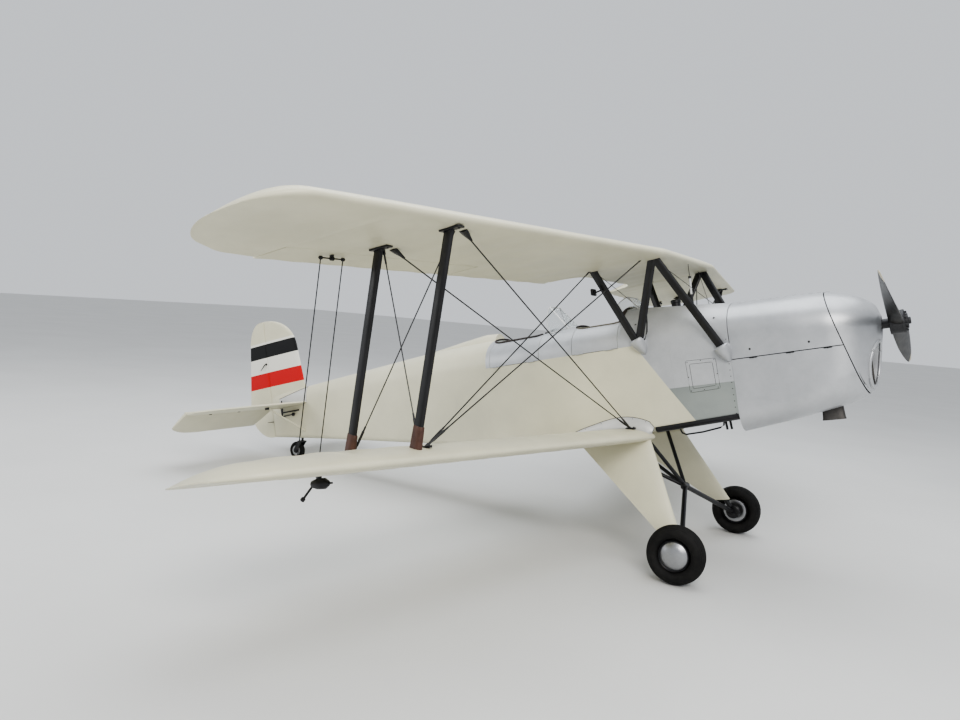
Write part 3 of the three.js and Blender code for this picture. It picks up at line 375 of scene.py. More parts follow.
def soften(obj, width, segments=3):
    return modified(obj, "BEVEL", 40, width=width, segments=segments, limit_method="ANGLE",
                    angle_limit=math.radians(40))


def carve(obj, tool, operation="DIFFERENCE"):
    modified(obj, "BOOLEAN", None, operation=operation, object=tool, solver="EXACT")
    bpy.data.objects.remove(tool)


def dress(obj, material, body, node=None):
    obj.data.materials.clear()
    obj.data.materials.append(M[material])
    if body:
        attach(obj, body)
    if node:
        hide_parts(node)
    return obj


def build(name, part, material, body="airframe", node=None, sharp=32, shell=0.0):
    """A piece of the scene that rides on a body and may replace a node; shell thickens a sheet."""
    obj = raw(name, part, sharp)
    if shell:
        modified(obj, "SOLIDIFY", sharp, thickness=shell, offset=-1)
    return dress(obj, material, body, node)


def loft(rings, caps=True):
    """Quads over rings of equal length, closed on themselves."""
    n = len(rings[0])
    verts = [p for ring in rings for p in ring]
    faces = [(r + i, r + (i + 1) % n, r + (i + 1) % n + n, r + i + n)
             for r in range(0, len(verts) - n, n) for i in range(n)]
    for base in (0, len(verts) - n) if caps else ():
        i, j = 0, n - 1
        while i + 1 < j:
            faces.append(tuple(dict.fromkeys((base + i, base + i + 1, base + j - 1, base + j))))
            i, j = i + 1, j - 1
    return verts, faces


def sheet(rows):
    """Quads over an open grid."""
    n = len(rows[0])
    verts = [p for row in rows for p in row]
    return verts, [(r + i, r + i + 1, r + n + i + 1, r + n + i)
                   for r in range(0, len(verts) - n, n) for i in range(n - 1)]


def merged(parts):
    verts, faces = [], []
    for v, f in parts:
        base = len(verts)
        verts += v
        faces += [tuple(i + base for i in face) for face in f]
    return verts, faces


def basis(axis):
    axis = axis.normalized()
    side = axis.cross(Vector((0, 0, 1)) if abs(axis.z) < 0.9 else Vector((1, 0, 0))).normalized()
    return axis, side, axis.cross(side).normalized()


def circle(centre, side, up, r, sides):
    return [centre + side * (r * math.cos(t)) + up * (r * math.sin(t)) for t in circled(sides)]


def tube(points, radii, sides=16, caps=True):
    """Round tube along points; one radius, or a list with one for each point, in metres."""
    rings = []
    for i, p in enumerate(points):
        _, side, up = basis(points[min(i + 1, len(points) - 1)] - points[max(i - 1, 0)])
        rings.append(circle(p, side, up, radii[i] if isinstance(radii, list) else radii, sides))
    return loft(rings, caps)


def turned(centre, axis, profile, sides=48):
    """Lathe: profile of (distance along the axis, radius), in metres."""
    axis, side, up = basis(axis)
    return loft([circle(centre + axis * d, side, up, r, sides) for d, r in profile])


def rod(a, b, radius, sides=12):
    return turned(a, b - a, [(0, radius), ((b - a).length, radius)], sides)


def boxed(corners):
    """Box from eight corners, the last axis changing first."""
    return corners, [(0, 1, 3, 2), (4, 6, 7, 5), (0, 4, 5, 1), (2, 3, 7, 6), (0, 2, 6, 4), (1, 5, 7, 3)]


def brick(lo, hi, place=level):
    (x0, y0, z0), (x1, y1, z1) = lo, hi
    return boxed([place(x, y, z) for x in (x0, x1) for y in (y0, y1) for z in (z0, z1)])


# ---- wings ----
INCIDENCE = math.radians(2.4)
HALF_SPAN, CENTRE_HALF, ROOT = 3800, 640, 366
TIP_NOSE, TIP_TAIL, TIP_THIN = 3600, 3250, 3640
AILERON = (1700, 3160)
HINGE_CHORD, POCKET_CHORD = 0.765, 0.745
RIB_PITCH = 243.4
SLACK, SCALLOP = 4.2, 0.011
UPPER = {"le": (-1307, 450, 707), "back": 0.1802, "rise": 0.023}
LOWER = {"le": (-1720, 450, -609), "back": 0.1697, "rise": 0.0663}
FORE = [POCKET_CHORD * (1 - math.cos(math.pi / 2 * k / 20)) for k in range(21)]
AFT = [lerp(POCKET_CHORD, 1, k / 6) for k in range(1, 7)]


def teardrop_form(c):
    return 0.2969 * math.sqrt(c) - 0.126 * c - 0.3516 * c ** 2 + 0.2843 * c ** 3 - 0.1036 * c ** 4


def aerofoil(c):
    """Heights of the upper skin, the lower skin and the mean line at a chord fraction."""
    half = max(0.6 * teardrop_form(c), 0.003) if c > 0 else 0
    camber, peak = 0.04, 0.4
    if c < peak:
        mean = camber / peak ** 2 * (2 * peak * c - c * c)
    else:
        mean = camber / (1 - peak) ** 2 * (1 - 2 * peak + 2 * peak * c - c * c)
    return mean + half, mean - half, mean


def on_wing(wing, y, c, height=0.0):
    """Place on a wing in the level frame: station, chord fraction, height up from the chord line in mm."""
    x0, y0, z0 = wing["le"]
    out = abs(y) - y0
    return Vector((x0 - wing["back"] * out - c * 1000 * math.cos(INCIDENCE) - height * math.sin(INCIDENCE), y,
                   z0 + wing["rise"] * out - c * 1000 * math.sin(INCIDENCE) + height * math.cos(INCIDENCE)))


def at_skin(wing, y, c, face, out=0.0, side=1):
    """Place on the top or the bottom skin of a wing."""
    up, down, _ = aerofoil(c)
    p = on_wing(wing, y, c, (up if face == "top" else down) * 1000 + out)
    return mirror(side, *p)


def quarter(s):
    """Fall of a quarter ellipse from 0 to 1."""
    return 1 - math.sqrt(max(0.0, 1 - s * s))


def tip_edges(y):
    """Chord fractions of the nose and the tail of the rounded tip."""
    nose = max(0.0, (y - TIP_NOSE) / (HALF_SPAN - TIP_NOSE))
    tail = max(0.0, (y - TIP_TAIL) / (HALF_SPAN - TIP_TAIL))
    step = 0.03 * min(1.0, max(0.0, (y - AILERON[1]) / 3))
    return 0.3 * quarter(nose), 1 - step - 0.06 * tail - 0.49 * quarter(tail)


def sag(y):
    """0 on a rib, 1 between two."""
    return math.sin(math.pi * (y - AILERON[0]) / RIB_PITCH) ** 2


def skin(wing, y, first, size, c, slack, thin=1.0, nose=1.0):
    """Places of the upper and the lower skin at a chord fraction, slack fabric between the ribs included."""
    up, down, mean = aerofoil(c)
    up, down = mean + (up - mean) * nose, mean - (mean - down) * nose
    dip = SLACK * slack * min(1, max(0, (c - 0.05) * 6)) * min(1, (1 - c) * 8)
    place = first + c * size - SCALLOP * slack * max(0, c - 0.85) / 0.15
    return (on_wing(wing, y, place, up * size * 1000 * thin - dip),
            on_wing(wing, y, place, down * size * 1000 * thin + dip))


def ring_of(pairs, side):
    top, low = [a for a, b in pairs], [b for a, b in pairs]
    tail = (top[-1] + low[-1]) / 2 - Vector((2, 0, 0))
    return [mirror(side, *p) for p in top[::-1] + low[1:] + [tail]]


def wing_ring(wing, y, side=1, pocket=False, edges=(0.0, 1.0), thin=1.0):
    """Outline of the aerofoil. With pocket it ends at the hollow that the aileron's nose turns in."""
    first, size = edges[0], edges[1] - edges[0]
    pairs = [skin(wing, y, first, size, c, sag(y), thin) for c in (FORE if pocket else FORE + AFT)]
    if pocket:
        up, down, mean = aerofoil(POCKET_CHORD)
        for k in range(1, 7):
            c = POCKET_CHORD - 0.017 * math.sin(math.pi / 2 * k / 6)
            pairs.append([on_wing(wing, y, c, lerp(edge, mean, k / 6) * 1000) for edge in (up, down)])
    return ring_of(pairs, side)


def aileron_ring(wing, y, side):
    """The aileron's outline, with a round nose about its hinge."""
    pairs = []
    for k in range(27):
        f = 0.5 - 0.5 * math.cos(math.pi * k / 26)
        nose = math.sqrt(max(0, 1 - max(0, 1 - f * 9) ** 2))
        pairs.append(skin(wing, y, 0, 1, lerp(HINGE_CHORD - 0.026, 1, f), sag(y), 1.0, nose))
    return ring_of(pairs, side)


PITCH_STEP = RIB_PITCH / 6
TIP = [AILERON[1], AILERON[1] + 3, *stations(3190, 3610, 30)]
TIP += [TIP_THIN, 3670, 3700, 3725, 3747, 3765, 3779, 3789, 3795]
for tag, side in SIDES:
    for plane, wing, root in (("upper", UPPER, CENTRE_HALF + 0.4), ("lower", LOWER, ROOT)):
        rings = [wing_ring(wing, y, side) for y in stations(root, AILERON[0], PITCH_STEP)]
        rings += [wing_ring(wing, y, side, True) for y in stations(*AILERON, PITCH_STEP)]
        for y in TIP:
            round_off = math.sqrt(max(0.02, 1 - ((y - TIP_THIN) / 158) ** 2))
            thin = 1.0 if y < TIP_THIN else 0.35 + 0.65 * round_off
            rings.append(wing_ring(wing, y, side, False, tip_edges(y), thin))
        build(f"{plane}_panel_{tag}", loft(rings), "cream", node=f"{plane}_wing_{tag}", sharp=38)
    for plane, wing in (("upper", UPPER), ("lower", LOWER)):
        rings = [aileron_ring(wing, y, side) for y in stations(AILERON[0] + 9, AILERON[1] - 9, PITCH_STEP)]
        body = f"aileron_{plane}_{tag}"
        build(f"{plane}_aileron_{tag}", loft(rings), "cream", body, body, 38)

# upper centre section with its cut-out behind, as (station, chord)
CUTOUT = [(640, 955), (625, 895), (605, 845), (575, 795), (540, 757), (510, 738), (480, 726), (440, 720), (0, 720)]
inner = on_wing(UPPER, CENTRE_HALF, 0)
CENTRE_WING = {"le": (inner.x, 0, inner.z), "back": 0, "rise": 0}
rows = []
for y in stations(-CENTRE_HALF, CENTRE_HALF, 26):
    chord = between(CUTOUT, abs(y))[1] / 1000
    rows.append(wing_ring(CENTRE_WING, y, 1, False, (0.0, chord), 0.97 / chord))
build("centre_panel", loft(rows), "cream", node="centre_section", sharp=38)

# ---- fuselage ----
KEEL, DECK_POWER, CREST = 45.0, 2.3, 20
FIREWALL, RAISED_END, TUB_END, TAIL_END = -1060, -1876, -3160, -6143
# station, half width, top, shoulder, bottom
FRAMES = [
    (FIREWALL, 368, 320, 70, -537),
    (-1700, 370, 338, 90, -580),
    (-2200, 370, 345, 90, -615),
    (-2750, 370, 345, 90, -618),
    (TUB_END, 348, 350, 90, -592),
    (-3880, 275, 335, 85, -515),
    (-5180, 135, 243, 70, -381),
    (TAIL_END, 26, 170, 60, -292),
]


def frame_at(x):
    return between(FRAMES, x)


def deck_point(half, top, shoulder, t, power=DECK_POWER):
    """Across and height on the rounded deck, t from the crest (0) to the shoulder (a right angle)."""
    return half * math.sin(t) ** (2 / power), shoulder + (top - shoulder) * math.cos(t) ** (2 / power)


def body_ring(x, half, top, shoulder, bottom, ridge=8.0):
    deck = [deck_point(half, top, shoulder, math.radians(90 * (k / CREST) ** 1.15)) for k in range(CREST)]
    kx = min(KEEL, half * 0.8)
    corner = [(half - kx + kx * math.cos(t), bottom + KEEL - KEEL * math.sin(t))
              for t in map(math.radians, range(0, 91, 10))]
    middle = (shoulder + bottom) / 2
    side = [(half, shoulder), (half + ridge * 0.5, lerp(shoulder, middle, 0.5)), (half + ridge, middle),
            (half + ridge * 0.5, lerp(middle, bottom + KEEL, 0.5))]
    half_ring = deck + side + corner
    return [(x, y, z) for y, z in half_ring] + [(x, -y, z) for y, z in half_ring[:0:-1]]


def raised_crest(x):
    """Top of the raised deck between the engine and the front cockpit."""
    return lerp(321, 415, (x - FIREWALL) / (RAISED_END - FIREWALL))


def fuselage_rings(start, end, step, inset=0.0, raised=False):
    inner = [f[0] for f in FRAMES if end < f[0] < start]
    rings = []
    for x in sorted(set(stations(end, start, step) + inner), reverse=True):
        _, half, top, shoulder, bottom = frame_at(x)
        top = raised_crest(x) if raised else top
        ridge = lerp(8, 4, min(1, max(0, (-x - 2900) / 400)))
        ring = body_ring(x, half - inset, top - inset, shoulder, bottom + inset, ridge)
        rings.append([level(*p) for p in ring])
    return rings


def deck_height(x, y):
    """Top of the deck at a place."""
    _, half, top, shoulder, _ = frame_at(x)
    top = raised_crest(x) if x >= RAISED_END else top
    t = math.asin(min(1.0, abs(y) / half) ** (DECK_POWER / 2))
    return deck_point(half, top, shoulder, t)[1]


build("forward_body", loft(fuselage_rings(FIREWALL, -1500, 80, 0, True)), "body", node="forward_fuselage")

# openings as (front, back) and the doors' (front, back)
COCKPITS = {"front": (-1880, -2330, -1905, -2305), "rear": (-2580, -3125, -2605, -3100)}
OPENING_HALF = 235


def opening_outline(start, end, half=OPENING_HALF, r=110, steps=10):
    corners = ((end + r, half - r, 90), (end + r, r - half, 180),
               (start - r, r - half, 270), (start - r, half - r, 0))
    return [(cx + r * math.cos(t), cy + r * math.sin(t)) for cx, cy, first in corners
            for t in [math.radians(first + 90 * k / steps) for k in range(steps + 1)]]


tub = raw("tub", loft(fuselage_rings(RAISED_END, TUB_END, 60)))
carve(tub, raw("tub_inside", loft(fuselage_rings(-1860, -3140, 60, 20))))
footwell = raw("tub_ahead", loft(fuselage_rings(-1500.3, RAISED_END, 60, 0, True)))
carve(footwell, raw("ahead_inside", loft(fuselage_rings(-1520, -1900, 60, 20, True))))
for start, end, _, _ in COCKPITS.values():
    outline = opening_outline(start, end)
    carve(tub, raw("hole", loft([[level(x, y, z) for x, y in outline] for z in (0, 600)])))
shells = []
for name, (_, _, front, back) in COCKPITS.items():
    for tag, side in SIDES:
        body = f"door_{name}_{tag}"
        door = linked(f"cockpit_{body}", tub.data.copy())
        blank = brick((back + 4, side * 175, 94), (front - 4, side * 500, 500))
        carve(door, raw("blank", blank), "INTERSECT")
        shells.append((door, body, body))
for _, _, front, back in COCKPITS.values():
    for _, side in SIDES:
        carve(tub, raw("notch", brick((back, side * 170, 90), (front, side * 500, 500))))
tub.name = "cockpit_shell"
footwell.name = "footwell_shell"
for obj, body, node in [(tub, "airframe", "cockpit_tub"), (footwell, "airframe", None)] + shells:
    recrease(obj, 30, WELD / 2)
    dress(obj, "body", body, node)
    # the inside of a shell gets the grey finish
    obj.data.materials.append(M["inside"])
    for face in obj.data.polygons:
        p = face.center - HUB
        x, y, z = (p.x * COS + p.z * SIN) * 1000, p.y * 1000, (p.z * COS - p.x * SIN) * 1000
        _, half, _, _, bottom = frame_at(x)
        if abs(y) < half - 9 and bottom + 9 < z < deck_height(x, y) - 9:
            face.material_index = 1

# station, half width, top
HEADREST = [(-3160.3, 105, 405), (-3290, 100, 414), (-3560, 60, 385), (-4050, 12, 322)]
fairing = []
for x in stations(-4050, -3160.3, 40)[::-1]:
    _, half, top = between(HEADREST, x)
    arch = [(half * math.cos(t), 280 + (top - 280) * math.sin(t)) for t in map(math.radians, range(0, 181, 12))]
    fairing.append([level(x, y, z) for y, z in [(half, 200)] + arch + [(-half, 200)]])
build("rear_body", loft(fuselage_rings(-3160.3, TAIL_END, 90)), "body", node="rear_fuselage")
build("head_fairing", loft(fairing), "body")

# pods at the feet of the centre-section struts: (place of the foot), rise
PODS = ((-1729, 78), (-1108, -30))
POD_SHAPE = [(0, 3), (6, 12), (25, 27), (60, 42), (100, 54), (135, 60), (152, 60), (160, 55), (163, 44)]
for tag, side in SIDES:
    for k, ((x, z), rise) in enumerate(zip(PODS, (32, -4))):
        foot = mirror(side, x + 40, 368, z - 95 + rise)
        axis = mirror(side, x - 8, 392, z + 34 + rise) - foot
        profile = [(d / POD_SHAPE[-1][0] * axis.length, r / 1000) for d, r in POD_SHAPE]
        build(f"pod_{k}_{tag}", turned(foot, axis, profile, 40), "silver")

# ---- cowling ----
# station, half width, top, shoulder, bottom, keel radius, power of the deck's curve
COWL = [
    (FIREWALL, 370, 320, 70, -643, 150, 2.3),
    (-700, 368, 303, 40, -588, 160, 2.3),
    (-425, 352, 286, 10, -536, 190, 2.3),
    (-330, 332, 265, -10, -515, 200, 2.3),
    (-232, 290, 228, -30, -492, 200, 2.2),
    (-160, 232, 178, -50, -468, 190, 2.2),
    (-115, 172, 130, -70, -438, 170, 2.1),
    (-94, 105, 62, -90, -376, 130, 2.0),
]
NOSE_END = COWL[-1][0]
SEAM_X, SEAM_SLOPE = -345, -0.26
LID_BACK, COWL_BACK = -1055, -1059.5


def lean_back(x, z):
    """How far the nose leans back below the propeller."""
    return 0.2 * max(0.0, (x + 330) / 236) * min(0.0, z)


def seam(x, z, gap=0):
    """Station of the slanted seam behind the nose bowl."""
    return SEAM_X + SEAM_SLOPE * z - gap - lean_back(x, z)


def cowl_point(x, s):
    """Place on the port half: s runs from the crest (0) to the middle of the bottom (1)."""
    w, top, shoulder, bottom, keel, power = smoothed(COWL, x)
    if s < 0.5:
        return deck_point(w, top, shoulder, math.radians(90 * (s / 0.5) ** 1.15), power)
    kx = min(keel, w * 0.8)
    if s < 0.72:
        t = (s - 0.5) / 0.22
        return w + 2 * math.sin(math.pi * t), lerp(shoulder, bottom + keel, t)
    if s < 0.94:
        t = math.radians(90 * (s - 0.72) / 0.22)
        return w - kx + kx * math.cos(t), bottom + keel - keel * math.sin(t)
    return lerp(w - kx, 0, (s - 0.94) / 0.06), bottom


def boundary(test):
    """The place round the section where a test of (y, z) comes true, as a function of the station."""
    table = []
    for k in range(162):
        low, high = 0.0, 1.0
        for _ in range(22):
            mid = (low + high) / 2
            if test(*cowl_point(FIREWALL + 6 * k, mid)):
                high = mid
            else:
                low = mid
        table.append(high)

    def at(x):
        place = min(160.999, max(0.0, (x - FIREWALL) / 6))
        k = int(place)
        return lerp(table[k], table[k + 1], place - k)

    return at


def cowl_patch(name, body, back, s0, s1, side=1, rows=26, cols=40, mirrored=False, node=None):
    """Patch of the cowling from a station to the seam; s0 and s1 are functions of the station."""
    grid = []
    for u in range(rows + 1):
        line = []
        for v in range(cols + 1):
            x = lerp(back, SEAM_X, u / rows)
            for _ in range(4):
                y, z = cowl_point(x, lerp(s0(x), s1(x), v / cols))
                x = lerp(back, seam(x, z, 7), u / rows)
            line.append(mirror(side, x + lean_back(x, z), y, z))
        if mirrored:
            line += [Vector((p.x, -p.y, p.z)) for p in line[-2::-1]]
        grid.append(line)
    build(name, sheet(grid), "silver", body, node, shell=0.006)


spine_edge = boundary(lambda y, z: y > 20)
lid_top = boundary(lambda y, z: y > 24.5)
lid_edge = boundary(lambda y, z: z < -109)
belly_edge = boundary(lambda y, z: z < -115.5)
for tag, side in SIDES:
    body = f"cowl_door_{tag}"
    cowl_patch(f"cowl_lid_{tag}", body, LID_BACK, lid_top, lid_edge, side, node=body)
cowl_patch("cowl_belly", "airframe", COWL_BACK, belly_edge, lambda x: 1.0, mirrored=True, node="lower_cowl")
for tag, side in SIDES:
    cowl_patch(f"cowl_spine_{tag}", "airframe", COWL_BACK, lambda x: 0.0, spine_edge, side, 20, 4)

# dark strips behind the seams: painted shade, so that the gaps between the cowl panels read dark
for tag, side in SIDES:
    line = []
    for x in stations(-1052, -330, 20):
        y, z = cowl_point(x, (lid_edge(x) + belly_edge(x)) / 2)
        line.append(mirror(side, x, y - 8, z))
    grid = [[p + Vector((0, 0, d)) for p in line] for d in (-0.012, 0.012)]
    build(f"seam_shade_strip_{tag}", sheet(grid), "dark", shell=0.0012)
# the same painted shade: a dark strip behind the nose bowl's seam
ring = []
for v in range(-60, 61):
    x, s = -360.0, abs(v) / 60
    for _ in range(5):
        y, z = cowl_point(x, s)
        x = seam(x, z, 3)
    ring.append((x + lean_back(x, z), math.copysign(max(0, y - 9), v), z))
grid = [[level(x + d, y, z + (9 if z < -400 else -9 if z > 240 else 0)) for x, y, z in ring] for d in (-14, 12)]
build("nose_seam_painted_shade", sheet(grid), "dark", shell=0.0012)

# nose bowl, cut by the slanted seam, with the shaft hole and the air intake
grid = []
for u in range(31):
    line = []
    for v in range(-56, 57):
        x, s = -400.0, abs(v) / 56
        for _ in range(4):
            y, z = cowl_point(max(x, FIREWALL), s)
            x = lerp(seam(x, z), NOSE_END, 1 - (1 - u / 30) ** 1.7)
        y, z = cowl_point(x, s)
        line.append(level(x + lean_back(x, z), y if v >= 0 else -y, z))
    grid.append(line)
verts, faces = sheet(grid)
first, last = len(verts) - len(line), len(verts)
verts.append(level(-88 + lean_back(NOSE_END, -150), 0, -150))
faces += [(i, i + 1, last) for i in range(first, last - 1)]
bowl = raw("nose_shell", (verts, faces))
modified(bowl, "SOLIDIFY", thickness=0.007, offset=-1)
carve(bowl, raw("shaft_hole", turned(level(-400, 0, 0), FORWARD, [(0, 0.062), (0.6, 0.062)])))
# middle across, middle height, half width, half height
INTAKE = (-118, -268, 106, 156)


def oval(scale=1.0, lean=0.0):
    """Places round the intake in the front view."""
    cy, cz, ry, rz = INTAKE
    return [(cy + lean + ry * scale * math.cos(t), cz + rz * scale * math.sin(t)) for t in circled(56)]


def oval_ring(x, scale, lean=0.0):
    return [level(x, y, z) for y, z in oval(scale, lean)]


carve(bowl, raw("intake_hole", loft([oval_ring(-330, 1.0), oval_ring(0, 1.0)])))
recrease(bowl, 35, WELD / 2)
dress(bowl, "silver", "airframe", "nose_bowl")


def nose_x(y, z):
    """Front surface of the nose bowl over a place of its front view."""
    low, high = -340.0, float(NOSE_END)
    for _ in range(30):
        x = (low + high) / 2
        ring = [cowl_point(x, k / 60) for k in range(61)]
        if abs(y) < max((py for py, pz in ring if abs(pz - z) < 26), default=0):
            low = x
        else:
            high = x
    return low + lean_back(low, z)


lip = [level(nose_x(y, z) + 1, y, z) for y, z in oval()]
smooth_lip = [sum((lip[(k + d) % 56] for d in (-2, -1, 0, 1, 2)), Vector()) / 5 for k in range(56)]
throat = [p.lerp(q, 0.12) - Vector((0.012, 0, 0.003)) for p, q in zip(smooth_lip, oval_ring(-190, 0.9))]
# the throat deeper in is dark engine iron, a painted shade for the inside of the deep intake
for part, rings, paint in (
        ("lip_duct", [smooth_lip, throat, oval_ring(-190, 0.92, 6)], "silver"),
        ("throat", [oval_ring(-189, 0.915, 6), oval_ring(-225, 0.87, 8), oval_ring(-300, 0.80, 12)], "iron")):
    build(f"intake_{part}", sheet([ring + ring[:1] for ring in rings]), paint, shell=0.003)
fins = [brick((-262, INTAKE[0] - 84, z), (-232, INTAKE[0] + 84, z + 4)) for z in range(-372, -170, 14)]
build("intake_fins", fins, "iron")
build("intake_lip", tube(smooth_lip + smooth_lip[:2], 0.0115, 14), "silver")

# ---- struts and wires ----
def teardrop(at, fore, across, chord, thick, count=12):
    """Streamlined section about its middle, nose forward."""
    top, low = [], []
    for k in range(count + 1):
        c = 0.5 - 0.5 * math.cos(math.pi * k / count)
        half = max(5 * teardrop_form(c), 0.03 if c > 0.5 else 0) * thick
        centre = at + fore * ((0.5 - c) * chord)
        top.append(centre + across * half)
        low.append(centre - across * half)
    return top[::-1] + low[1:]


def streamlined(*rows):
    """Bar of teardrop sections; rows of (place, chord, thickness), in metres."""
    axis = (rows[-1][0] - rows[0][0]).normalized()
    across = FORWARD.cross(axis).normalized()
    fore = axis.cross(across).normalized()
    return loft([teardrop(at, fore, across, chord, thick) for at, chord, thick in rows])


def bar(a, b, chord=0.062, thick=0.026):
    """Strut of constant section."""
    return streamlined((a, chord, thick), (a.lerp(b, 0.5), chord, thick), (b, chord, thick))


def fitting(name, at, normal, length, width, height):
    """Bolted plate with rounded edges and two bolt heads, lying on a surface."""
    fore = (FORWARD - normal * FORWARD.dot(normal)).normalized()
    across = normal.cross(fore)
    corners = [at + fore * (x * length / 2) + across * (y * width / 2) + normal * z
               for x in (-1, 1) for y in (-1, 1) for z in (-0.002, height)]
    soften(build(name, boxed(corners), "black"), min(length, width, height) * 0.3)
    head = [(0, 0.0055), (height * 0.4 + 0.004, 0.0055), (height * 0.4 + 0.005, 0.004)]
    build(f"{name}_bolts", [turned(at + fore * (x * length * 0.36) + normal * (height * 0.6), normal, head, 6)
                            for x in (-1, 1)], "steel")


FORK, SHANK, BARREL = 0.009, 0.0055, 0.0075


def wire(foot, head, thick=0.0042):
    """Bracing wire with fork ends, and a turnbuckle near its foot."""
    end = (head - foot).length
    profile = [(0, FORK), (0.026, FORK), (0.030, SHANK), (0.055, SHANK), (0.060, BARREL), (0.155, BARREL),
               (0.160, SHANK), (0.185, SHANK), (0.190, thick), (end - 0.085, thick), (end - 0.08, SHANK),
               (end - 0.03, SHANK), (end - 0.026, FORK), (end, FORK)]
    return turned(foot, head - foot, profile, 12)


BAY, WIRE_BAY = 2698, 2600
FRONT_SPAR, REAR_SPAR = 0.11, 0.587
ROD_STATIONS, PIN_ENDS = (2730, 2880), (2716, 2894)
EAR = [(0, 0.010), (0.002, 0.0125), (0.022, 0.0125), (0.024, 0.010)]
# along the strut, added chord and thickness, in mm
SLEEVE = [(-4, 18, 20), (6, 19, 22), (14, 15, 17), (60, 13, 15), (100, 10, 12), (122, 9, 10), (128, 4, 5)]
for tag, side in SIDES:
    for name, spar in (("front", FRONT_SPAR), ("rear", REAR_SPAR)):
        foot = at_skin(LOWER, BAY, spar, "top", -3, side)
        head = at_skin(UPPER, BAY, spar, "bottom", 3, side)
        build(f"interplane_{name}_{tag}", bar(foot, head), "black", node=f"strut_{name}_{tag}")
        axis = (head - foot).normalized()
        sleeve = [(foot + axis * (d / 1000), 0.062 + wide / 1000, 0.026 + deep / 1000) for d, wide, deep in SLEEVE]
        build(f"interplane_{name}_{tag}_boot", streamlined(*sleeve), "boot", sharp=50)
        plate = at_skin(UPPER, BAY, spar - 0.012, "bottom", 0, side)
        fitting(f"strut_plate_{name}_{tag}", plate, -UP, 0.13, 0.056, 0.010)
    crossed = [wire(at_skin(LOWER, BAY - 30, low, "top", 6, side), at_skin(UPPER, BAY - 30, high, "bottom", -8, side),
                    0.0034) for low, high in ((FRONT_SPAR, REAR_SPAR), (REAR_SPAR, FRONT_SPAR))]
    build(f"incidence_wires_{tag}", crossed, "steel")

    root = at_skin(LOWER, 425, 0.15, "top", 4, side)
    wires, boots = [], []
    for spar in (FRONT_SPAR, REAR_SPAR):
        wires.append(wire(root, at_skin(UPPER, WIRE_BAY, spar, "bottom", -2, side)))
        head = at_skin(UPPER, WIRE_BAY, spar, "bottom", 2, side)
        down = (root - head).normalized()
        boots.append(streamlined((head, 0.052, 0.024), (head + down * 0.03, 0.046, 0.020),
                                 (head + down * 0.095, 0.014, 0.009)))
    build(f"flying_wire_pair_{tag}", wires, "steel", node=f"flying_wires_{tag}")
    build(f"wire_boots_{tag}", boots, "black")
    fitting(f"flying_root_{tag}", at_skin(LOWER, 427, 0.15, "top", -2, side), UP, 0.075, 0.036, 0.014)
    foot = at_skin(LOWER, WIRE_BAY + 20, FRONT_SPAR, "top", 4, side)
    wires = [wire(foot, mirror(side, x, 650, z)) for x, z in ((-1498, 706), (-1925, 694))]
    build(f"landing_wire_pair_{tag}", wires, "steel", node=f"landing_wires_{tag}")
    plate = at_skin(LOWER, WIRE_BAY + 20, FRONT_SPAR, "top", -2, side)
    fitting(f"landing_foot_{tag}", plate, UP, 0.07, 0.03, 0.012)

    # centre-section struts
    low = [mirror(side, x, 390, z + 12) for x, z in PODS]
    rear, front = mirror(side, -1925, 620, 694), mirror(side, -1448, 620, 712)
    build(f"cabane_struts_{tag}", [bar(low[0], rear), bar(low[0], front), bar(low[1], front)], "black",
          node=f"cabane_{tag}")
    fitting(f"cabane_plate_front_{tag}", mirror(side, -1452, 622, 716), -UP, 0.15, 0.05, 0.012)
    fitting(f"cabane_plate_rear_{tag}", mirror(side, -1925, 622, 698), -UP, 0.12, 0.045, 0.012)

    # two rods from the upper to the lower aileron, with cross pins in an ear of each
    def high(y):
        return at_skin(UPPER, y, 0.825, "bottom", -16, side)

    def deep(y):
        return at_skin(LOWER, y, 0.795, "top", 16, side)

    rods = [rod(high(y), deep(y), 0.0032) for y in ROD_STATIONS]
    for point in (high, deep):
        inner, outer = map(point, PIN_ENDS)
        rods.append(rod(inner, outer, 0.004))
        rods += [turned(point(y) - (outer - inner).normalized() * 0.009, outer - inner,
                        [(0, 0.008), (0.002, 0.011), (0.016, 0.011), (0.018, 0.008)], 16) for y in ROD_STATIONS]
    body = f"aileron_link_{tag}"
    build(f"aileron_rods_{tag}", rods, "black", body, body)
    for plane, point, sign in (("upper", high, 1), ("lower", deep, -1)):
        inner, outer = map(point, PIN_ENDS)
        middle, along = point(2805), (outer - inner).normalized()
        ear = turned(middle - along * 0.012, along, EAR, 20)
        stem = streamlined((middle, 0.020, 0.016), (middle + UP * (sign * 0.022), 0.034, 0.022))
        build(f"aileron_ear_{plane}_{tag}", [ear, stem], "black", f"aileron_{plane}_{tag}")

cross = [wire(mirror(side, x, 330, deck_height(x, 330) - 4), mirror(-side, top_x, 600, z), 0.0022)
         for _, side in SIDES for x, top_x, z in ((-1752, -1925, 690), (-1150, -1470, 706))]
build("cabane_cross_wires", cross, "steel")

# ---- tail ----
HINGE_X, HINGE_Z, HINGE_R = -5930, 45, 20
DROOP = math.radians(28)
TAIL_TIP = [975, 1010, 1050, 1090, 1130, 1165, 1200, 1230, 1255, 1278, 1297, 1311, 1321, 1327]


def tail_edges(y):
    """Front, rear and half thickness of the tail plane with its elevator."""
    bend = quarter(max(0.0, (y - 950) / 384))
    return -5550 - 0.06 * y - 180 * bend, -6300 + 160 * bend, 24 - 16 * bend


def tail_half(f):
    if f < 0.55:
        return 0.15 + 0.85 * math.sin(math.pi / 2 * f / 0.55)
    return math.sqrt(max(0.0, 1 - ((f - 0.55) / 0.45) ** 2))


